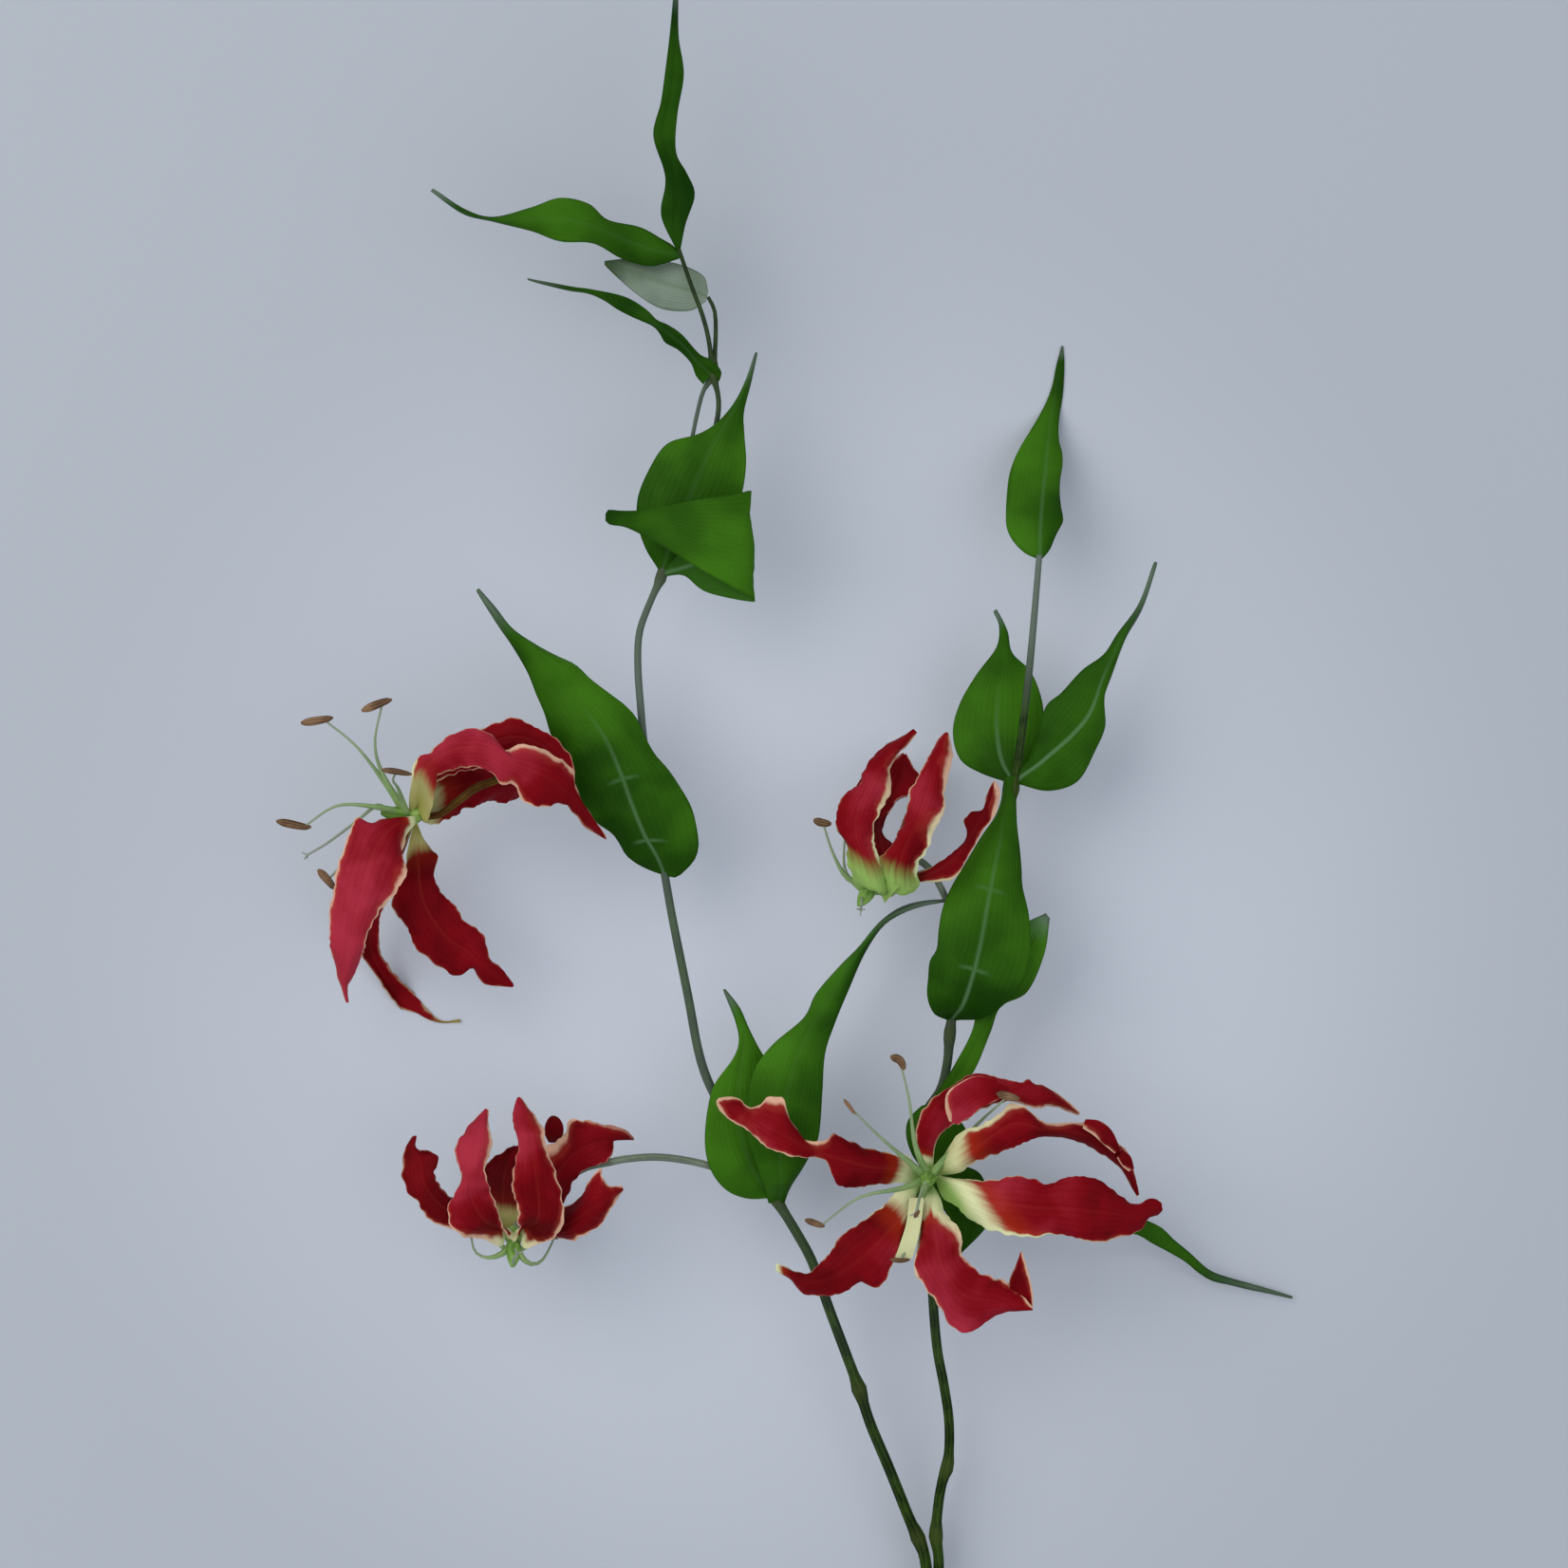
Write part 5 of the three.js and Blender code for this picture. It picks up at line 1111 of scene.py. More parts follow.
@dataclass(frozen=True)
class LeafFinish(Finish):
    """A leaf's face or back.

    Attributes:
        shade: its dark green, which also serves as painted shade.
        light: its bright green, which also serves as painted light.
        painted_sheen: a pale bluish painted reflection, laid where the carried brightness runs highest.
        rib: its pale rib and veins.
        tip: its drying tip.
    """

    shade: Colour = (14, 48, 0)
    light: Colour = (62, 114, 18)
    painted_sheen: Colour = (112, 138, 112)
    rib: Colour = (104, 140, 98)
    tip: Colour = (94, 112, 92)

    def surface(self, wiring: Wiring) -> tuple[bpy.types.NodeSocket, Value, float]:
        """Wires blotched green with painted shade, light and sheen, parallel veins and a pale rib: see
        Finish.surface.
        """
        widths = {"Margin Width": 0.7, "Ragged": 0.3, "Rib Width": 1.1, "Vein Count": 16.0}
        masks = PATTERN.place(wiring, widths)
        mottle = MOTTLE.place(wiring, {"Blotch Scale": 45.0, "Grain Scale": 1100.0})
        # The carried brightness mixes the leaf's own greens with painted shade, painted light and, at its
        # top, a painted sheen.
        share = wiring.attribute("tone") + mottle["Blotch"] * 0.35 + mottle["Grain"] * 0.12
        share = share - masks["Veins"] * 0.03
        green = wiring.layers(
            self.shade,
            (share.step(0.0, 1.3), self.light),
            (share.step(1.3, 2.1), self.painted_sheen),
            (wiring.attribute("pale").step(0.0, 0.4), self.tip),
            (masks["Margin"] * 0.35, self.shade),
            (masks["Rib"], self.rib),
        )
        return green, (masks["Veins"] * 0.5 + mottle["Grain"]) * 0.6, 0.0003


@dataclass(frozen=True)
class TepalFinish(Finish):
    """A tepal: crimson with streaks, painted shade and painted sheen, a pale waved margin and a pale green
    base.

    Attributes:
        deep: its darkest crimson, which also serves as painted shade.
        red: its crimson.
        painted_pink_sheen: its brightest, rosy red, a painted satin sheen.
        margin: the pale margin.
        ember: the orange where the margin meets the red.
        flush: the orange red beside the pale base.
        base: the pale base.
        hub: the green where the base starts.
        olive: colour of an olive base.
    """

    deep: Colour = (84, 0, 4)
    red: Colour = (122, 5, 16)
    painted_pink_sheen: Colour = (162, 42, 58)
    margin: Colour = (208, 163, 134)
    ember: Colour = (170, 66, 48)
    flush: Colour = (170, 52, 12)
    base: Colour = (212, 214, 162)
    hub: Colour = (134, 166, 84)
    olive: Colour = (146, 134, 62)

    def surface(self, wiring: Wiring) -> tuple[bpy.types.NodeSocket, Value, float]:
        """Wires the reds with painted shade and painted sheen, the margin and the base: see Finish.surface.
        """
        shared = {"Rib Width": 1.0, "Vein Count": 9.0}
        masks = PATTERN.place(wiring, {"Margin Width": 1.0, "Ragged": 1.1, **shared})
        wide = PATTERN.place(wiring, {"Margin Width": 2.4, "Ragged": 2.0, **shared})
        mottle = MOTTLE.place(wiring, {"Blotch Scale": 70.0, "Grain Scale": 1300.0})
        # The carried brightness runs from the deep crimson of painted shade through crimson to a painted
        # pink sheen.
        share = wiring.attribute("tone") + mottle["Blotch"] * 0.3 + mottle["Grain"] * 0.15
        share = share - masks["Veins"] * 0.04
        pale, tint = wiring.attribute("pale"), wiring.attribute("tint")
        fresh = (1.0 - tint * tint) * 0.4
        greenness = pale.step(0.45, 0.95).at_least(tint * -1.0)
        base = wiring.layers(self.base, (greenness, self.hub), (tint.at_least(0.0), self.olive))
        red = wiring.layers(
            self.deep,
            (share.step(0.1, 0.75), self.red),
            (share.step(0.6, 1.25), self.painted_pink_sheen),
            (masks["Rib"] * 0.5, self.ember),
            (wide["Margin"] * 0.3, self.ember),
            (pale.step(-0.4, 0.1) * fresh, self.flush),
            (masks["Margin"], wiring.layers(self.margin, (pale.step(-1.5, 0.3), self.base))),
            (masks["Base"], base),
        )
        return red, (masks["Veins"] * 0.4 + mottle["Grain"]) * 0.55, 0.0004


@dataclass(frozen=True)
class FleshFinish(Finish):
    """A stem, stalk, filament, ovary or anther: two colours in blotches and long streaks.

    Attributes:
        dark: its darker colour.
        light: its lighter colour.
        grain: fine grains to the metre.
        depth: depth of the fine relief, in metres.
        node: colour round a stem's swollen joints.
        faded: the colour that it fades to.
    """

    dark: Colour = (26, 38, 14)
    light: Colour = (58, 74, 34)
    grain: float = 900.0
    depth: float = 0.0003
    node: Colour = (62, 70, 30)
    faded: Colour = (96, 108, 96)

    def surface(self, wiring: Wiring) -> tuple[bpy.types.NodeSocket, Value, float]:
        """Wires streaks along the piece over blotches: see Finish.surface."""
        mottle = MOTTLE.place(wiring, {"Blotch Scale": 120.0, "Grain Scale": self.grain})
        streak = (wiring.attribute("turn") * 7.0 + mottle["Blotch"] * 3.0).wave()
        share = (mottle["Blotch"] + mottle["Grain"]) * 0.5 + streak * 0.2
        colour = wiring.layers(
            self.dark,
            (share.step(0.0, 1.0), self.light),
            (wiring.attribute("faded"), self.faded),
            (wiring.attribute("swollen") * 0.6, self.node),
        )
        return colour, mottle["Grain"], self.depth


class Look(Enum):
    """The finishes of the spray."""

    LEAF = LeafFinish("leaf face", roughness=0.5)
    LEAF_BACK = LeafFinish("leaf back", roughness=0.6, shade=(26, 64, 8), light=(58, 104, 28))
    PALE_BACK = LeafFinish(
        "pale leaf back", roughness=0.6, shade=(44, 66, 34), light=(154, 170, 152), rib=(74, 98, 48)
    )
    TEPAL = TepalFinish("tepal", roughness=0.55)
    STEM = FleshFinish("stem", shine=0.06, dark=(13, 26, 3), light=(46, 70, 18))
    STALK = FleshFinish("bloom stalk", dark=(92, 102, 86), light=(122, 132, 112))
    OLIVE_STALK = FleshFinish("olive bloom stalk", roughness=0.55, dark=(62, 30, 8), light=(92, 68, 26))
    HUB = FleshFinish("bloom hub", dark=(96, 132, 52), light=(152, 176, 96))
    FILAMENT = FleshFinish("filament", dark=(98, 134, 62), light=(142, 172, 100), faded=(140, 146, 132))
    OVARY = FleshFinish("ovary", dark=(84, 124, 46), light=(130, 164, 84))
    ANTHER = FleshFinish(
        "anther", roughness=0.85, dark=(76, 56, 40), light=(140, 110, 82), grain=2600.0, depth=0.0006
    )


# ---------------------------------------------------------------- making pieces


@dataclass(frozen=True)
class Maker:
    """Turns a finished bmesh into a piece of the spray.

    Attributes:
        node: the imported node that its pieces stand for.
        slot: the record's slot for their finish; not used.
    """

    node: str
    slot: str

    def piece(self, name: str, shape: bmesh.types.BMesh, *looks: Look) -> bpy.types.Object:
        """Makes the object, dresses it and ties it to the frame.

        Args:
            name: the piece's name.
            shape: its mesh in mm, freed here.
            *looks: its finishes, in the order of the faces' material numbers.

        Returns:
            The object.
        """
        mesh = bpy.data.meshes.new(name)
        for look in looks:
            mesh.materials.append(look.value.material())
        for vert in shape.verts:
            vert.co.z = max(vert.co.z, 0.0)
        shape.normal_update()
        for face in shape.faces:
            face.smooth = True
        for edge in shape.edges:
            edge.smooth = edge.calc_face_angle(0.0) < SHARP_ANGLE
        bmesh.ops.scale(shape, vec=(MM, MM, MM), verts=shape.verts[:])
        shape.to_mesh(mesh)
        shape.free()
        made = bpy.data.objects.new(name, mesh)
        bpy.context.scene.collection.objects.link(made)
        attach(made, "root")
        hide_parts(self.node)
        LOG.info("%s: %d faces for %s", name, len(mesh.polygons), self.node)
        return made


@dataclass(frozen=True)
class Blade:
    """A leaf or tepal: a thin waved sheet between its margins, over its rib.

    Attributes:
        form: its curves.
        seed: picks the pattern of its crisped margins.
        thickness: in mm.
        narrowest: least width in mm.
        groove: depth of the groove over the rib, in mm.
        groove_reach: how far the groove reaches beside the rib, in mm.
        pleats: height of the long pleats beside the rib, in mm.
        frill: how far the margins are crisped, in mm.
        up_waves: mm from one long and one short wave of the crisped margin to the next, upwards.
        out_waves: the same outwards.
        full_at: half the width in mm from which it is grooved, crisped and waved in full.
        heel: the place that its base is drawn to, if it is.
        rows: cells along it.
        columns: cells across it.
    """

    form: BladeForm
    seed: int
    thickness: float = 0.5
    narrowest: float = 0.5
    groove: float = 0.4
    groove_reach: float = 1.1
    pleats: float = 0.12
    frill: float = 0.0
    up_waves: tuple[float, float] = (8.5, 5.2)
    out_waves: tuple[float, float] = (7.1, 4.3)
    full_at: tuple[float, float, float] = (4, 5, 6)
    heel: np.ndarray | None = None
    rows: int = 56
    columns: int = 18

    def _margin(self, points: Curve, lift: float, shares: np.ndarray) -> np.ndarray:
        """Returns a margin's plan points and heights above the rib at shares of its length."""
        last = len(points) - 1
        rises = [p[2] if len(p) > 2 else (0.0 if n in (0, last) else lift) for n, p in enumerate(points)]
        return curve_points(np.array([(p[0], p[1], rise) for p, rise in zip(points, rises)]), shares)

    def _crisping(self, s: np.ndarray, t: np.ndarray, length: float) -> list[np.ndarray]:
        """Returns how far the margins stand up and out along the blade, between about -1 and 1."""
        chance = np.random.default_rng(self.seed)
        sides = []
        for _ in range(2):
            *phases, drift = chance.uniform(0, FULL_TURN, 5)
            warp = 0.05 * np.sin(2 * FULL_TURN * s + drift)
            late, early = FULL_TURN * (s + warp) * length, FULL_TURN * (s - warp) * length
            waves = zip((self.up_waves, self.out_waves), (phases[:2], phases[2:]))
            sides.append([
                0.7 * np.sin(late / long + first) + 0.4 * np.sin(early / short + second)
                for (long, short), (first, second) in waves
            ])
        return [np.where(t < 0, left, right) for left, right in zip(*sides)]

    def _relief(
        self, s: np.ndarray, t: np.ndarray, reach: np.ndarray, length: float
    ) -> tuple[np.ndarray, np.ndarray]:
        """Works out how the sheet differs from its smooth form.

        Args:
            s: shares of the blade's length from 0 to 1, by row.
            t: shares of half its width from -1 to 1, by column.
            reach: half the width of each row, in mm.
            length: the rib's length in mm.

        Returns:
            How far each point stands up in mm, and how far out it is, in mm from the rib.
        """
        grooved, crisped, waved = (np.minimum(1, reach / full) for full in self.full_at)
        size, count, phase = self.form.wave
        ripple = np.sin(FULL_TURN * count * s + phase + np.where(t < 0, 2, 0))
        rise = size * waved * np.minimum(1, 5 * s) * t**2 * ripple
        up, out = self._crisping(s, t, length)
        frill = self.frill * crisped * fade(s, 0.02, 0.2) * fade(-s, -1.0, -0.9)
        rise = rise + frill * up * np.abs(t) ** 3
        groove = self.groove * grooved * fade(-s, -1, -0.85)
        rise = rise - groove * np.exp(-((t * reach / self.groove_reach) ** 2))
        rise = rise + self.pleats * np.cos(7 * math.pi * np.abs(t)) * (1 - t**4) * waved
        return rise, t * reach * (1 + 0.5 * frill * out * np.abs(t) / np.maximum(reach, 1))

    def sheet(self) -> tuple[np.ndarray, np.ndarray, float]:
        """Works out where the blade's grid lies.

        Returns:
            The places in mm by row and column, half the width of each row, and the rib's length.
        """
        form = self.form
        shares = np.linspace(0, 1, self.rows + 1)
        drawn = curve_points(np.array([(u, v, h / PLAN.unit) for u, v, h in form.rib]), shares)
        drawn[:, 2] *= PLAN.unit
        middle = PLAN.places(drawn)
        left, right = (
            PLAN.places(self._margin(points, lift, shares) + drawn * (0, 0, 1))
            for points, lift in zip((form.left, form.right), form.lift)
        )
        half, bow = (right - left) / 2, (left + right) / 2 - middle
        ahead = unit_rows(np.gradient(middle, axis=0))
        width = np.linalg.norm(half, axis=1)
        # Where its margins meet, the blade lies level.
        level = unit_rows(np.cross(ahead, (0, 0, 1)))
        aside = np.where(width[:, None] > self.narrowest / 10, unit_rows(half), level)
        width = np.maximum(width, self.narrowest / 2)
        normal = unit_rows(np.cross(aside, ahead))
        length = float(np.linalg.norm(np.diff(middle, axis=0), axis=1).sum())
        s, t = shares[:, None], np.linspace(-1, 1, self.columns + 1)[None, :]
        rise, flat = self._relief(s, t, width[:, None], length)
        places = middle[:, None] + aside[:, None] * flat[..., None]
        places = places + bow[:, None] * (t**2)[..., None] + normal[:, None] * rise[..., None]
        if self.heel is not None:
            places = places + (self.heel - middle[0]) * (1 - fade(s, 0.0, 0.1))[..., None]
        places[..., 2] = np.maximum(places[..., 2], self.thickness / 2)
        return places, width, length

    def off_veins(self, share: float, length: float) -> float:
        """Returns mm along the blade from its nearest crossing vein, with a sign; its length if none."""
        veins = self.form.veins
        if not veins:
            return length
        apart = veins[-1] - veins[0] if len(veins) > 1 else 1.0
        return length * math.prod(share - vein for vein in veins) / apart

    def paleness(self, s: float, t: float) -> float:
        """Returns how pale the base or the tip is at a point: above 0 where it is at all."""
        form = self.form
        base = 1 - (s - form.slant * t) / form.pale if form.pale else NOT_PALE
        tip = 0.45 * (1 - (1 - s) / form.tip) if form.tip else NOT_PALE
        return max(base, tip)

    def shape(self) -> bmesh.types.BMesh:
        """Makes the closed sheet, its face up with material 0 and its back with material 1.

        Returns:
            The mesh, in mm, with what the finishes read at its points.
        """
        form = self.form
        places, width, length = self.sheet()
        shape = bmesh.new()
        names = ("edge", "across", "tone", "pale", "tint", "rim", "glow", "crossing")
        carried = [shape.verts.layers.float.new(name) for name in names]
        shape.loops.layers.uv.new("blade")
        bmesh.ops.create_grid(shape, x_segments=self.columns, y_segments=self.rows, size=1, calc_uvs=True)
        for vert in shape.verts:
            t, s = vert.co.x, (vert.co.y + 1) / 2
            row = round(s * self.rows)
            vert.co = places[row, round((t + 1) / 2 * self.columns)]
            # The third value carries the blade's own darker or paler colour together with painted shade and
            # painted highlights, with one side painted brighter.
            values = (
                (1 - abs(t)) * width[row],
                t * width[row],
                along(form.tone, s) + along(form.painted_side_light, s) * t,
                self.paleness(s, t),
                form.tint,
                along(form.rim[0] if t < 0 else form.rim[1], s),
                along(form.glow, s),
                self.off_veins(s, length),
            )
            for layer, value in zip(carried, values):
                vert[layer] = value
        shape.normal_update()
        if sum(face.normal.z * face.calc_area() for face in shape.faces) < 0:
            bmesh.ops.reverse_faces(shape, faces=shape.faces[:])
        shape.normal_update()
        for vert, normal in [(vert, vert.normal.copy()) for vert in shape.verts]:
            vert.co += normal * self.thickness / 2
        fronts = set(shape.faces)
        bmesh.ops.solidify(shape, geom=shape.faces[:], thickness=self.thickness)
        for face in shape.faces:
            face.material_index = 0 if face in fronts else 1
        return shape


@dataclass(frozen=True)
class Rod:
    """A round or lobed bar along a smooth path.

    Attributes:
        path: places that it follows, in mm, one row each.
        radii: its radii in mm, spread evenly from its start to its end.
        sides: how many sides its section has.
        lobes: how many lobes its section has.
        lobed: how deep the lobes are, as a share of the radius.
        step: mm between its rings.
        joints: places and radii of swollen joints near it.
        joint_reach: how far along it a joint swells it, in mm.
        faded: how far its colour has faded, spread along it as the radii are.
    """

    path: np.ndarray
    radii: tuple[float, ...]
    sides: int = 8
    lobes: int = 0
    lobed: float = 0.0
    step: float = 2.5
    joints: tuple[tuple[np.ndarray, float], ...] = ()
    joint_reach: float = 3.0
    faded: tuple[float, ...] = (0,)

    def rings(self) -> tuple[np.ndarray, np.ndarray, np.ndarray]:
        """Returns the ring centres in mm, their radii, and how near each is to a swollen joint."""
        rough = curve_points(self.path, np.linspace(0, 1, 60))
        length = np.linalg.norm(np.diff(rough, axis=0), axis=1).sum()
        shares = np.linspace(0, 1, max(4, round(length / self.step)) + 1)
        centres, radii = curve_points(self.path, shares), along(self.radii, shares)
        swollen = np.zeros(len(centres))
        for place, radius in self.joints:
            near = np.exp(-((np.linalg.norm(centres - place, axis=1) / self.joint_reach) ** 2))
            radii = radii + np.maximum(radius - radii, 0) * near
            swollen = np.maximum(swollen, near)
        return centres, radii, swollen

    def shape(self) -> bmesh.types.BMesh:
        """Makes the closed bar by drawing one ring along the path.

        Returns:
            The mesh, in mm. Its points carry the angle round it, the nearness of a joint and how
            far the colour has faded.
        """
        centres, radii, swollen = self.rings()
        shape = bmesh.new()
        layers = shape.verts.layers.float
        turned, near, faded = (layers.new(name) for name in ("turn", "swollen", "faded"))
        ring = bmesh.ops.create_circle(shape, cap_ends=False, radius=1, segments=self.sides)["verts"]
        for vert in ring:
            angle = math.atan2(vert.co.y, vert.co.x)
            vert[turned] = angle
            vert.co *= 1 + self.lobed * math.cos(self.lobes * angle)
        edges = shape.edges[:]
        bmesh.ops.edgeloop_fill(shape, edges=edges)
        steps = unit_rows(np.gradient(centres, axis=0))
        # Its first ring is level, unless it starts off upright.
        side = Vector((0, 0, 1)).cross(Vector(steps[0]))
        side = side if side.length > 0.3 else Vector((0, 1, 0)).cross(Vector(steps[0]))
        stood = Matrix.Identity(4)
        for n, (centre, radius, step) in enumerate(zip(centres, radii, steps)):
            ahead = Vector(step)
            side = (side - ahead * side.dot(ahead)).normalized()
            turn = Matrix((side, ahead.cross(side), ahead)).transposed().to_4x4()
            stand = Matrix.Translation(Vector(centre)) @ turn @ Matrix.Diagonal((radius, radius, radius, 1))
            if n:
                drawn = bmesh.ops.extrude_edge_only(shape, edges=edges)["geom"]
                ring = [item for item in drawn if isinstance(item, bmesh.types.BMVert)]
                edges = [item for item in drawn if isinstance(item, bmesh.types.BMEdge)]
            bmesh.ops.transform(shape, matrix=stand @ stood.inverted(), verts=ring)
            for vert in ring:
                vert[near] = swollen[n]
                vert[faded] = along(self.faded, n / (len(centres) - 1))
            stood = stand
        bmesh.ops.edgeloop_fill(shape, edges=edges)
        bmesh.ops.recalc_face_normals(shape, faces=shape.faces[:])
        return shape


# ---------------------------------------------------------------- the spray


@dataclass
class Stems:
    """The cut stem, its two branches, the thin strands, the bloom stalks and their hubs.

    Attributes:
        forms: each by its name.
        joints: the swollen joints.
        sides: how many sides a stem's section has.
        hub_radius: radius in mm of the knob that carries a bloom.
    """

    forms: dict[str, StemForm]
    joints: tuple[Joint, ...]
    sides: int = 14
    hub_radius: float = 2.8

    @cached_property
    def rods(self) -> dict[str, Rod]:
        """The rod of each stem."""
        joints = tuple((PLAN.place(joint.at), joint.radius) for joint in self.joints)
        return {
            name: Rod(PLAN.places(form.path), form.radii, self.sides, joints=joints, faded=form.faded)
            for name, form in self.forms.items()
        }

    def heel(self, place: np.ndarray, reach: float = 4.0, depth: float = 0.6) -> np.ndarray | None:
        """Finds where a leaf's base goes into the nearest stem.

        Args:
            place: the middle of the leaf's base, in mm.
            reach: how far off a stem may be, in mm.
            depth: how far out from the stem's middle the base goes, as a share of the radius.

        Returns:
            The place just under the stem's surface, or None where no stem is near.
        """
        nearest, found = reach, None
        for rod in self.rods.values():
            centres, radii, _ = rod.rings()
            fine = curve_points(centres, np.linspace(0, 1, 20 * len(centres)))
            gaps = np.linalg.norm(fine - place, axis=1)
            n = int(gaps.argmin())
            radius = float(along(radii, n / len(fine)))
            if gaps[n] - radius < nearest:
                nearest, found = gaps[n] - radius, fine[n] + unit_rows(place - fine[n]) * radius * depth
        return found

    def build(self, blooms: dict[str, BloomForm]) -> None:
        """Makes every stem and the hub of every bloom.

        Args:
            blooms: the blooms by their names.
        """
        maker = Maker("stem", "stem_green")
        for name, rod in self.rods.items():
            maker.piece(name, rod.shape(), Look[self.forms[name].look])
        r = self.hub_radius
        for name, bloom in blooms.items():
            middle, out = PLAN.place(bloom.centre), unit_rows(np.array(bloom.facing))
            path = np.array([middle + out * share * r for share in (-0.9, -0.3, 0.3, 0.9)])
            radii = (0.35 * r, 0.8 * r, r, r, 0.85 * r, 0.5 * r)
            hub = Rod(path, radii, sides=24, lobes=6, lobed=0.06, step=0.5)
            maker.piece(f"{name}_hub", hub.shape(), Look.HUB)


@dataclass
class Leaf:
    """One leaf of the spray.

    Attributes:
        name: its node's name.
        form: its curves.
        stems: what it grows from.
    """

    name: str
    form: BladeForm
    stems: Stems

    def build(self) -> None:
        """Makes the leaf with its base drawn into the stem."""
        blade = Blade(self.form, seed_of(self.name), heel=self.stems.heel(PLAN.place(self.form.rib[0])))
        looks = (Look.PALE_BACK, Look.LEAF) if self.form.turned else (Look.LEAF, Look.LEAF_BACK)
        Maker(self.name, "leaf_green").piece(f"{self.name}_blade", blade.shape(), *looks)


@dataclass
class Bloom:
    """One bloom: six tepals on their ring, the ovary with its style, and six stamens.

    Attributes:
        name: its nodes' first name.
        form: its curves.
        ring: radius in mm of the ring of tepal bases.
        base_width: width in mm of a tepal's base.
        ovary_start: how far before the middle of the ring the ovary starts, in mm.
        ovary_length: in mm.
    """

    name: str
    form: BloomForm
    ring: float = 2.7
    base_width: float = 2.2
    ovary_start: float = 2.2
    ovary_length: float = 9.2

    def __post_init__(self) -> None:
        """Works out the ring's middle and axes."""
        self.out = unit_rows(np.array(self.form.facing))
        self.middle = PLAN.place(self.form.centre)
        self.start = unit_rows(np.array((0.0, 1.0, 0.0)) - self.out * self.out[1])
        self.quarter = np.cross(self.out, self.start)

    def rooted(self, tepal: TepalForm) -> TepalForm:
        """Returns a tepal's form with its base on the ring put before its curves."""
        turn = math.radians(tepal.turn)
        root = self.middle + (self.start * math.cos(turn) + self.quarter * math.sin(turn)) * self.ring
        aside = (self.quarter * math.cos(turn) - self.start * math.sin(turn)) * self.base_width / 2
        corners = []
        for place in (root + aside, root - aside):
            u, v, height = PLAN.drawn(place)
            corners.append((u, v, height - root[2]))
        ends = (tepal.left[0], tepal.right[0])
        straight, crossed = (
            sum(math.dist(corner[:2], end[:2]) for corner, end in zip(order, ends))
            for order in (corners, corners[::-1])
        )
        left, right = corners if straight <= crossed else corners[::-1]
        rib = (PLAN.drawn(root), *tepal.rib)
        return replace(tepal, rib=rib, left=(left, *tepal.left), right=(right, *tepal.right))

    def on_axis(self, reach: float) -> np.ndarray:
        """Returns the place on the bloom's axis so many mm before the ring's middle."""
        return self.middle + self.out * reach

    def build(self) -> None:
        """Makes the tepals, the ovary, the style with its three branches, and the stamens."""
        for n, tepal in enumerate(self.form.tepals, 1):
            name = f"{self.name}_tepal_{n}"
            maker, seed, rooted = Maker(name, "tepal_crimson"), seed_of(name), self.rooted(tepal)
            blade = Blade(rooted, seed, thickness=0.45, groove=0.5, pleats=0.1, frill=0.8, rows=64)
            maker.piece(f"{name}_blade", blade.shape(), Look.TEPAL, Look.TEPAL)
            for m, form in enumerate(tepal.curls, 1):
                curl = Blade(form, seed, thickness=0.4, groove=0.0, pleats=0.0, rows=24, columns=12)
                maker.piece(f"{name}_curl_{m}", curl.shape(), Look.TEPAL, Look.TEPAL)
        maker = Maker(f"{self.name}_stamens", "stamen_green")
        self._pistil(maker)
        self._stamens(maker)

    def _pistil(self, maker: Maker) -> None:
        """Makes the ovary, the style and the three short branches of its tip."""
        far = self.ovary_start + self.ovary_length
        path = np.array([self.on_axis(reach) for reach in np.linspace(self.ovary_start, far, 4)])
        ovary = Rod(path, (1.5, 2.2, 2.45, 2.4, 2.1, 1.5, 0.7), sides=24, lobes=3, lobed=0.1, step=0.6)
        maker.piece(f"{self.name}_ovary", ovary.shape(), Look.OVARY)
        route = np.vstack([self.on_axis(far - 1.0), PLAN.places(self.form.style)])
        style = Rod(route, (0.65, 0.45, 0.35), step=1.5, faded=(0.5, 1))
        maker.piece(f"{self.name}_style", style.shape(), Look.FILAMENT)
        tip, ahead = route[-1], unit_rows(route[-1] - route[-2])
        aside = unit_rows(np.cross(ahead, (0.3, 0.2, 1.0)))
        over = np.cross(ahead, aside)
        for n in range(3):
            turn = FULL_TURN * n / 3
            spread = aside * math.cos(turn) + over * math.sin(turn)
            bends = [tip - ahead * 0.4, tip + ahead * 0.8 + spread * 0.5, tip + ahead * 1.6 + spread * 1.6]
            branch = Rod(np.array(bends), (0.35, 0.3, 0.2), sides=6, step=0.6, faded=(1,))
            maker.piece(f"{self.name}_stigma_{n + 1}", branch.shape(), Look.FILAMENT)

    def _stamens(self, maker: Maker) -> None:
        """Makes the six filaments and their anthers."""
        for n, stamen in enumerate(self.form.stamens, 1):
            points = PLAN.places([*stamen.filament, stamen.anther[1]])
            route = np.vstack([self.on_axis(self.ovary_start + 1), points])
            filament = Rod(route, (1.4, 0.95, 0.55, 0.38, 0.36), faded=(0, 0.4, 0.8))
            maker.piece(f"{self.name}_filament_{n}", filament.shape(), Look.FILAMENT)
            radii = tuple(stamen.size * r for r in (0.35, 0.95, 1.15, 1.15, 1.1, 1.0, 0.85, 0.3))
            anther = Rod(PLAN.places(stamen.anther), radii, sides=16, lobes=2, lobed=0.16, step=0.6)
            maker.piece(f"{self.name}_anther_{n}", anther.shape(), Look.ANTHER)


def seed_of(name: str) -> int:
    """Returns a number that is always the same for a name."""
    return zlib.crc32(name.encode())


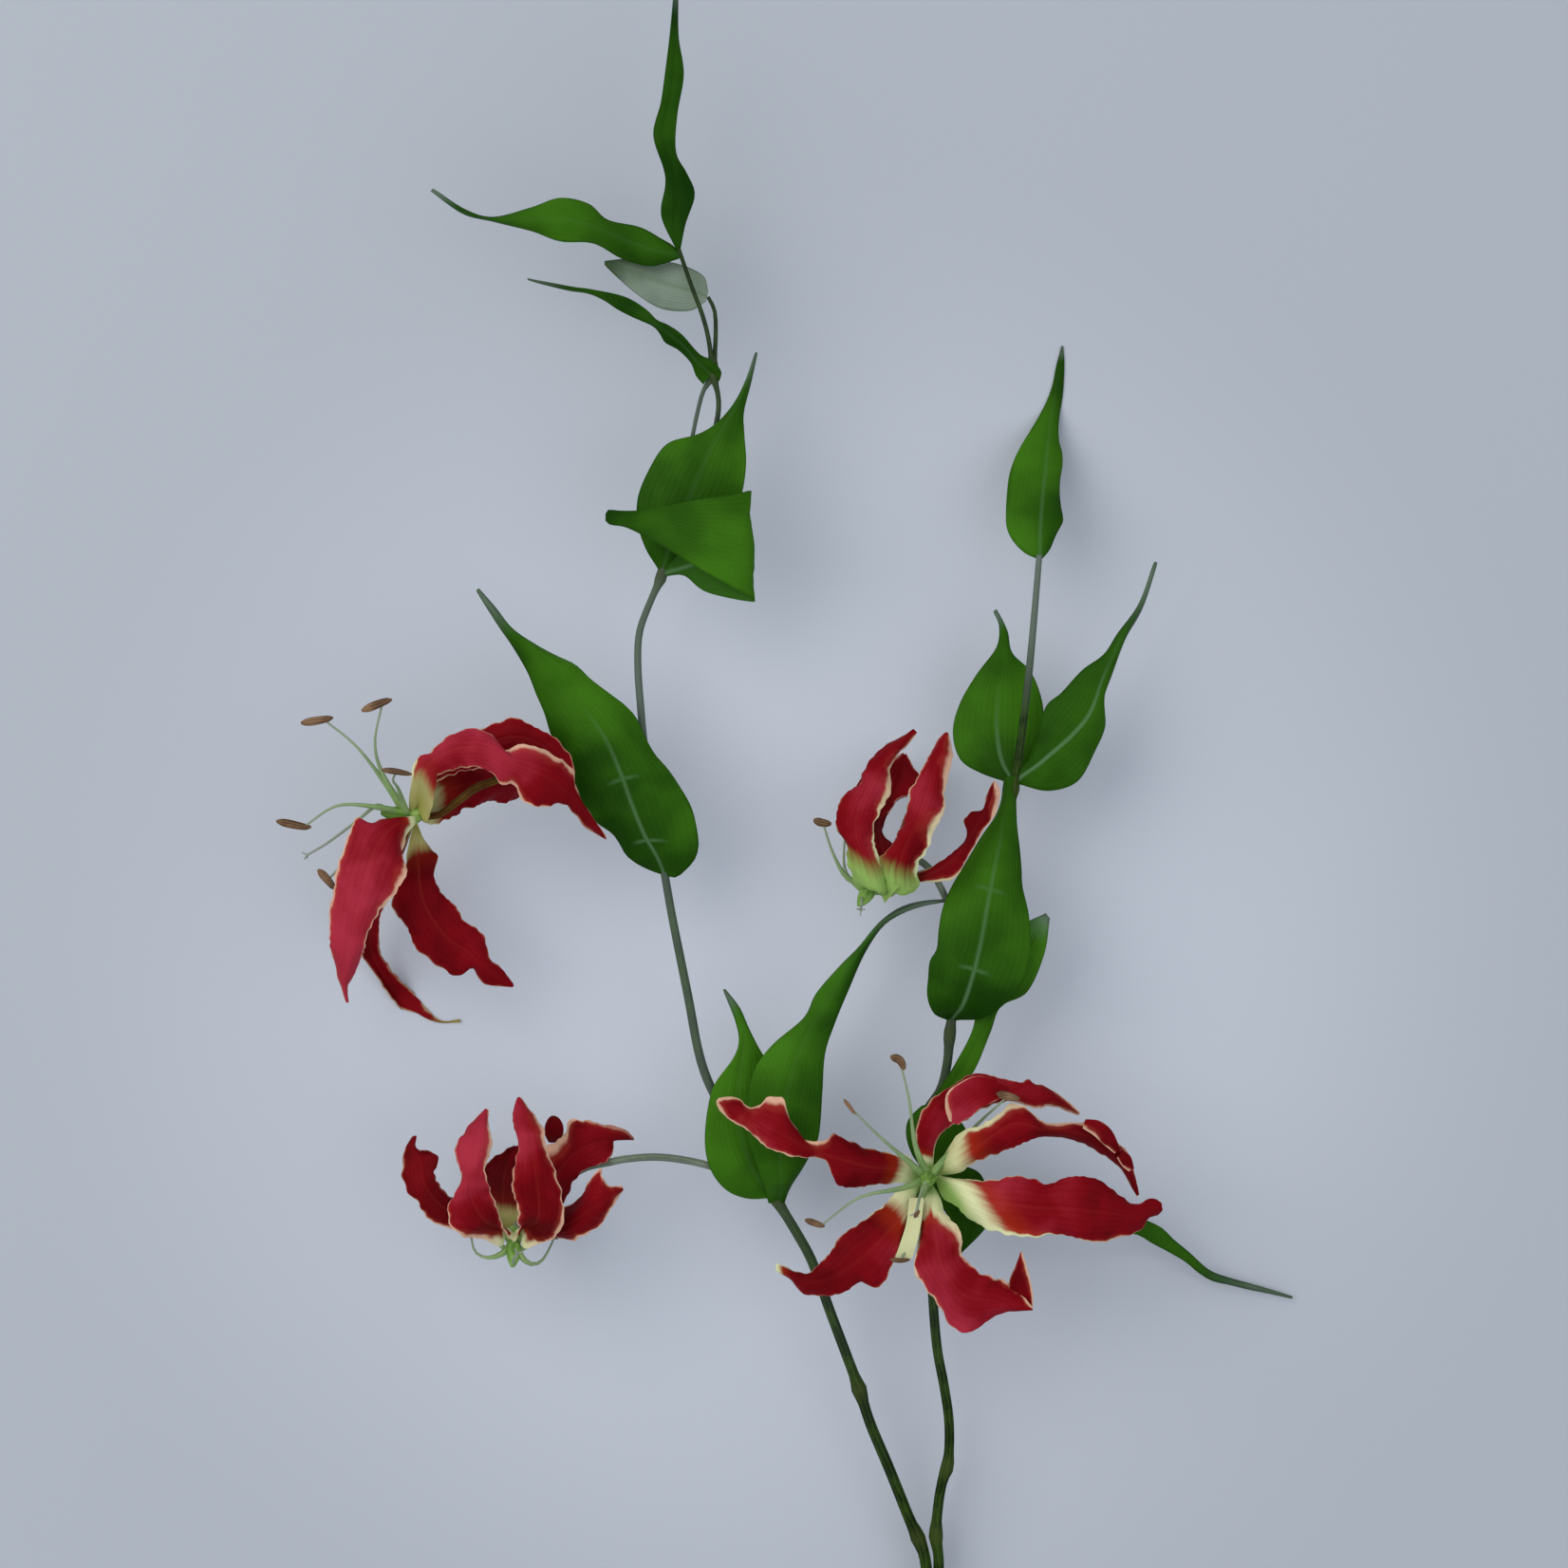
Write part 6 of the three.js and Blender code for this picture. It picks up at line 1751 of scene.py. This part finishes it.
@dataclass(frozen=True)
class Studio:
    """Camera, floor and lights.

    Attributes:
        eye: where the camera is, in metres.
        sensor: width of its sensor in mm.
        distance: how far it is from the middle of the spray's height, in mm.
        span: the width that it sees there, in mm.
        floor: the floor's colour.
        glow: its paler colour under the spray, a painted pool of light where the spray's shadow falls.
        painted_light_reach: how far out the painted light holds and where it ends, in metres.
        floor_size: half the floor's width, in metres.
        sky: colour of the light from all round.
        sky_strength: its strength.
    """

    eye: Point = (-0.0025, 0.056, 1.845)
    sensor: float = 36.0
    distance: float = 1800.0
    span: float = 495.6
    floor: Colour = (170, 175, 180)
    glow: Colour = (200, 205, 212)
    painted_light_reach: tuple[float, float] = (0.02, 0.27)
    floor_size: float = 6.0
    sky: Colour = (236, 242, 255)
    sky_strength: float = 0.72

    def _show(self, name: str, data: bpy.types.ID) -> bpy.types.Object:
        """Puts an object with this data in the scene and returns it."""
        made = bpy.data.objects.new(name, data)
        bpy.context.scene.collection.objects.link(made)
        return made

    def set_camera(self) -> None:
        """Places the camera straight above the spray."""
        data = bpy.data.cameras.new("camera")
        data.sensor_width = self.sensor
        data.lens = self.sensor * self.distance / self.span
        camera = self._show("camera", data)
        camera.location = self.eye
        bpy.context.scene.camera = camera

    def lay_floor(self) -> None:
        """Lays the pale floor, with a painted pool of light under the spray."""
        shape = bmesh.new()
        bmesh.ops.create_grid(shape, x_segments=2, y_segments=2, size=self.floor_size)
        mesh = bpy.data.meshes.new("floor")
        shape.to_mesh(mesh)
        shape.free()
        material = bpy.data.materials.new("floor")
        material.use_nodes = True
        wiring = Wiring(material.node_tree)
        where = wiring.add("ShaderNodeTexCoord", {}).outputs["Object"]
        away = wiring.value("ShaderNodeVectorMath", {0: where}, "Value", operation="LENGTH")
        # The floor is paler round the middle: painted light under the spray.
        colour = wiring.layers(self.glow, (away.step(*self.painted_light_reach), self.floor))
        feeds = {"Base Color": colour, "Roughness": 0.9, "Specular IOR Level": 0.1}
        wiring.feed(material.node_tree.nodes["Principled BSDF"], feeds)
        mesh.materials.append(material)
        self._show("floor", mesh)

    def light(self, name: str, place: Point, size: float, power: float, colour: Colour) -> None:
        """Adds a large soft lamp that faces the spray.

        Args:
            name: its name.
            place: where it is, in metres.
            size: its width and height in metres.
            power: in watts.
            colour: its colour.
        """
        data = bpy.data.lights.new(name, "AREA")
        data.shape = "SQUARE"
        data.size = size
        data.energy = power
        data.color = linear(colour)[:3]
        lamp = self._show(name, data)
        lamp.location = place
        lamp.rotation_euler = (-Vector(place)).to_track_quat("-Z", "Y").to_euler()

    def set_up(self) -> None:
        """Places everything round the spray."""
        self.set_camera()
        self.lay_floor()
        self.light("key", (-1.3, 0.7, 1.7), 2.0, 28, (255, 252, 248))
        self.light("fill", (1.6, -0.6, 2.4), 2.2, 14, (240, 245, 255))
        world = bpy.data.worlds.new("sky")
        world.use_nodes = True
        feeds = {"Color": linear(self.sky), "Strength": self.sky_strength}
        Wiring(world.node_tree).feed(world.node_tree.nodes["Background"], feeds)
        bpy.context.scene.world = world
        bpy.context.scene.view_settings.view_transform = "Standard"


def main() -> None:
    """Builds the studio and the spray."""
    logging.basicConfig(level=logging.INFO, format="%(message)s")
    Studio().set_up()
    stems = Stems(STEMS, JOINTS)
    stems.build(BLOOMS)
    for name, form in LEAVES.items():
        Leaf(name, form, stems).build()
    for name, form in BLOOMS.items():
        Bloom(name, form).build()


if __name__ == "__main__":
    main()
